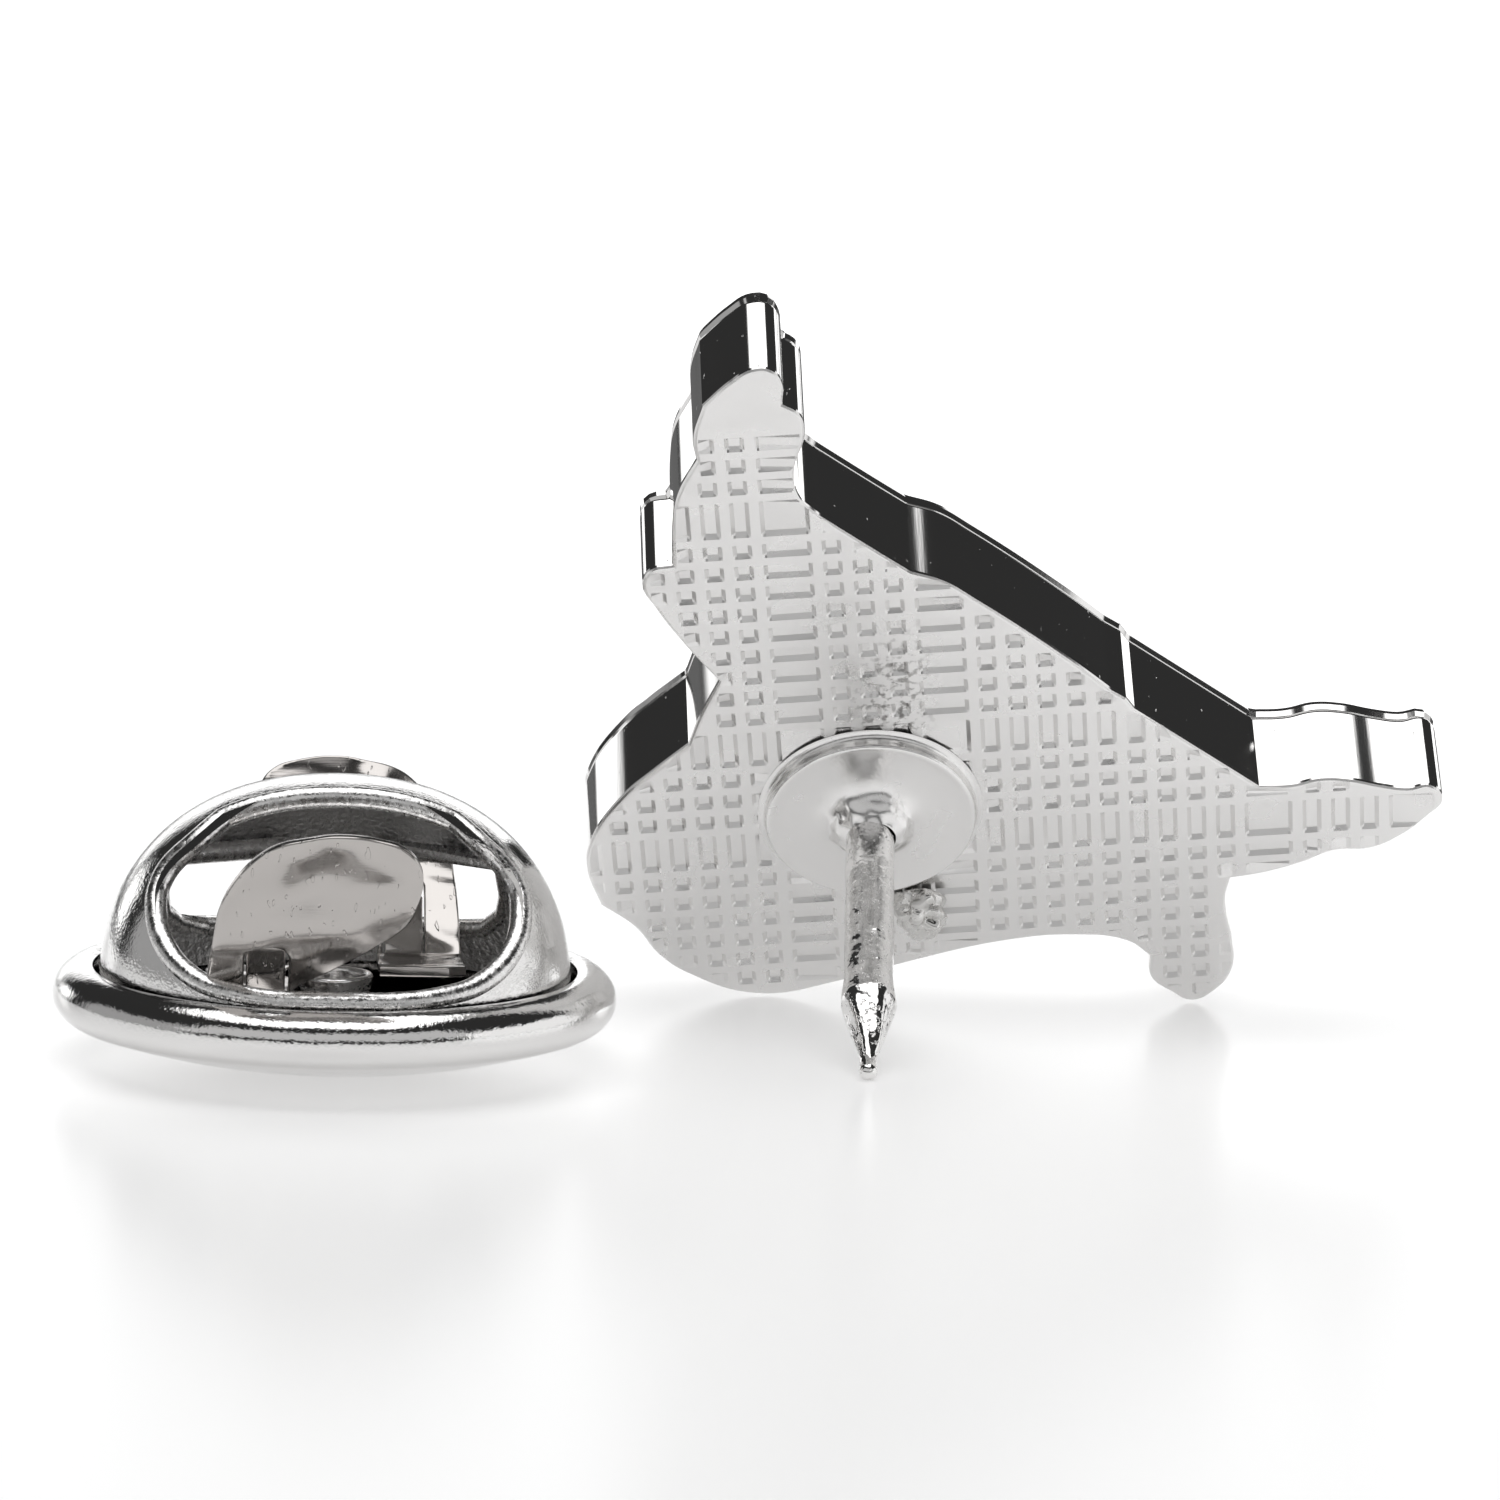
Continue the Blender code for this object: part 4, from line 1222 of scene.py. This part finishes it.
class TIETACK_OT_wings(bpy.types.Operator):
    """Model the two spring wings, each folded from one sheet."""

    bl_idname = "tietack.wings"
    bl_label = "Wings"

    def execute(self, context):
        colours = context.scene.tie_tack_finishes
        steel = rolled_nickel(colours)
        for name in ("front_wing", "rear_wing"):
            half = WING_THICKNESS / 2
            sheet = plate(name, [wing_blank(), arch_hole()], -half, half, 0.05 * MM, 8)
            rows = [BEND_LENGTH * i / 4 for i in range(5)]
            rows += [BEND_LENGTH + (WING_LENGTH - BEND_LENGTH) * i / 44 for i in range(1, 44)]
            columns = [WING_LEFT + WING_WIDTH * i / 30 for i in range(1, 30)]
            shape = folded(sheet, wing_lean, WING_LENGTH, rows, columns)
            tab = plate(name + "_tab", [tab_blank()], -half * 0.8, half * 0.8, 0.03 * MM, 4)
            tab_rows = [TAB_BEND_LENGTH * i / 8 for i in range(9)]
            shape = joined(shape, folded(tab, tab_lean, TAB_LENGTH, tab_rows))
            turn = Matrix.Rotation(WING_OPEN[name], 4, "X")
            matrix = wing_hinge(name) @ turn
            finished(name + "_sheet", shape, matrix, [steel], name, [name])
        return {"FINISHED"}


# Stage


class TieTackFinishes(bpy.types.PropertyGroup):
    """Colours of the finishes, as sRGB hex values."""

    rhodium: StringProperty(name="Rhodium", description="Badge and nail", default="#ECEBEA")
    nickel: StringProperty(name="Nickel", description="Clutch shell", default="#E3E2E1")
    wing: StringProperty(name="Wing", description="Spring wings", default="#BDB9B6")
    solder: StringProperty(name="Solder", description="Solder splash", default="#D8D7D5")
    flux: StringProperty(name="Flux", description="Flux stain by the pad", default="#989694")


# The light tent: its own glow, what the camera sees of it at the least, and how soft a panel's edge is
TENT_GLOW = 0.03
BACKDROP = 1.4
PANEL_EDGE = 0.02

# Its panels: brightness, then the ranges of a direction's X, Y and Z that each fills
LIGHT_PANELS = [
    (1.75, [("Z", 0.84, 2), ("X", -1, 0.42)]),
    (1.3, [("Y", 0.9, 2), ("Z", 0, 0.33)]),
    (1.8, [("X", 0.45, 0.7), ("Y", 0.3, 0.88), ("Z", 0, 0.27)]),
    (1.0, [("X", 0.84, 2), ("Z", 0, 0.4)]),
    (1.6, [("X", -0.7, -0.5), ("Y", 0.3, 0.88), ("Z", 0, 0.2)]),
    (0.35, [("X", -2, -0.84), ("Z", 0, 0.4)]),
    (0.55, [("Y", -2, -0.45), ("Z", 0.14, 0.62)]),
    (0.1, [("Z", -2, -0.02)]),
]


class TieTackStageSizes(bpy.types.PropertyGroup):
    """Camera, floor and light."""

    distance: FloatProperty(
        name="Distance", description="Camera to aim point", default=180 * MM, unit="LENGTH"
    )
    elevation: FloatProperty(
        name="Elevation", description="Camera above the table", default=math.radians(8.8), subtype="ANGLE"
    )
    roll: FloatProperty(
        name="Roll", description="Camera's roll", default=math.radians(1.5), subtype="ANGLE"
    )
    width: FloatProperty(
        name="Width", description="Seen at the aim point", default=31.2 * MM, unit="LENGTH"
    )
    aim: FloatVectorProperty(
        name="Aim",
        description="From the nail's tip to the middle of the picture",
        default=(-2.634 * MM, 1.046 * MM, 6.758 * MM),
        subtype="TRANSLATION",
    )
    floor_glow: FloatProperty(
        name="Floor glow", description="Light that comes up through the floor", default=0.3
    )
    floor_front: FloatProperty(
        name="Floor front", description="Floor in front of the tack", default=55 * MM, unit="LENGTH"
    )
    floor_back: FloatProperty(
        name="Floor back", description="Floor behind the tack", default=45 * MM, unit="LENGTH"
    )


class TIETACK_OT_stage(bpy.types.Operator):
    """Set up the floor, the light and the camera."""

    bl_idname = "tietack.stage"
    bl_label = "Stage"

    def execute(self, context):
        sizes = context.scene.tie_tack_stage
        self.make_floor(sizes)
        self.make_light(context.scene)
        self.make_camera(context.scene, sizes)
        return {"FINISHED"}

    def make_floor(self, sizes):
        shape = bmesh.new()
        bmesh.ops.create_grid(shape, x_segments=1, y_segments=1, size=300 * MM)
        for vert in shape.verts:
            vert.co.y = sizes.floor_back if vert.co.y > 0 else -sizes.floor_front
        mesh = bpy.data.meshes.new("floor")
        shape.to_mesh(mesh)
        shape.free()
        floor = bpy.data.objects.new("floor", mesh)
        bpy.context.scene.collection.objects.link(floor)
        material = bpy.data.materials.new("white_acrylic_sheet")
        material.use_nodes = True
        shader = material.node_tree.nodes["Principled BSDF"]
        shader.inputs["Base Color"].default_value = linear("#F8F8F8")
        shader.inputs["Roughness"].default_value = 0.24
        shader.inputs["Specular IOR Level"].default_value = 0.25
        shader.inputs["Emission Color"].default_value = linear("#FFFFFF")
        shader.inputs["Emission Strength"].default_value = sizes.floor_glow
        mesh.materials.append(material)

    def make_light(self, scene):
        """A light tent: a bright top and narrow panels low down round it, with dark gaps between."""
        world = bpy.data.worlds.new("light_tent")
        scene.world = world
        world.use_nodes = True
        tree = world.node_tree
        direction = add(tree, "ShaderNodeTexCoord").outputs["Generated"]
        split = add(tree, "ShaderNodeSeparateXYZ", {"Vector": direction}).outputs
        total = TENT_GLOW
        for strength, ranges in LIGHT_PANELS:
            panel = strength
            for axis, low, high in ranges:
                rise = ramp(tree, split[axis], low - PANEL_EDGE, low + PANEL_EDGE)
                fall = ramp(tree, split[axis], high + PANEL_EDGE, high - PANEL_EDGE)
                edges = math_node(tree, "MULTIPLY", rise, fall)
                panel = math_node(tree, "MULTIPLY", edges, panel)
            total = math_node(tree, "ADD", panel, total)
        seen = add(tree, "ShaderNodeLightPath").outputs["Is Camera Ray"]
        strength = math_node(tree, "MAXIMUM", total, math_node(tree, "MULTIPLY", seen, BACKDROP))
        background = tree.nodes["Background"]
        background.inputs["Color"].default_value = linear("#FFFFFF")
        tree.links.new(strength, background.inputs["Strength"])
        scene.view_settings.view_transform = "Standard"

    def make_camera(self, scene, sizes):
        tip = tack_matrix() @ (Matrix.Rotation(-NAIL_LEAN, 3, "Y") @ Vector((0, 0, NAIL_LENGTH)))
        tip.z = 0
        tilt, roll = sizes.elevation, sizes.roll
        forward = Vector((0, math.cos(tilt), -math.sin(tilt)))
        upright = Vector((0, math.sin(tilt), math.cos(tilt)))
        right = Vector((1, 0, 0)) * math.cos(roll) + upright * math.sin(roll)
        up = Vector((-1, 0, 0)) * math.sin(roll) + upright * math.cos(roll)
        data = bpy.data.cameras.new("camera")
        data.lens = data.sensor_width * sizes.distance / sizes.width
        data.clip_start = 5 * MM
        camera = bpy.data.objects.new("camera", data)
        scene.collection.objects.link(camera)
        turn = Matrix((right, up, -forward)).transposed().to_4x4()
        place = tip + Vector(sizes.aim) - forward * sizes.distance
        camera.matrix_world = Matrix.Translation(place) @ turn
        scene.camera = camera


class TIETACK_PT_panel(bpy.types.Panel):
    """Buttons and sizes of the tie tack."""

    bl_idname = "TIETACK_PT_panel"
    bl_label = "Tie Tack"
    bl_space_type = "VIEW_3D"
    bl_region_type = "UI"
    bl_category = "Tie Tack"

    def draw(self, context):
        layout = self.layout
        for operator in OPERATORS:
            layout.operator(operator.bl_idname)
        for name in PROPERTIES:
            group = getattr(context.scene, name)
            box = layout.box()
            for prop in group.bl_rna.properties:
                if prop.identifier not in ("rna_type", "name"):
                    box.prop(group, prop.identifier)


OPERATORS = (
    TIETACK_OT_badge,
    TIETACK_OT_nail,
    TIETACK_OT_clutch,
    TIETACK_OT_wings,
    TIETACK_OT_stage,
)
PROPERTIES = {
    "tie_tack_badge": TieTackBadgeSizes,
    "tie_tack_nail": TieTackNailSizes,
    "tie_tack_clutch": TieTackClutchSizes,
    "tie_tack_finishes": TieTackFinishes,
    "tie_tack_stage": TieTackStageSizes,
}


def register():
    for group in PROPERTIES.values():
        bpy.utils.register_class(group)
    for name, group in PROPERTIES.items():
        setattr(bpy.types.Scene, name, PointerProperty(type=group))
    for operator in OPERATORS:
        bpy.utils.register_class(operator)
    bpy.utils.register_class(TIETACK_PT_panel)


def unregister():
    bpy.utils.unregister_class(TIETACK_PT_panel)
    for operator in reversed(OPERATORS):
        bpy.utils.unregister_class(operator)
    for name, group in PROPERTIES.items():
        delattr(bpy.types.Scene, name)
        bpy.utils.unregister_class(group)


def main():
    register()
    bpy.ops.tietack.stage()
    bpy.ops.tietack.badge()
    bpy.ops.tietack.nail()
    bpy.ops.tietack.clutch()
    bpy.ops.tietack.wings()


if __name__ == "__main__":
    main()
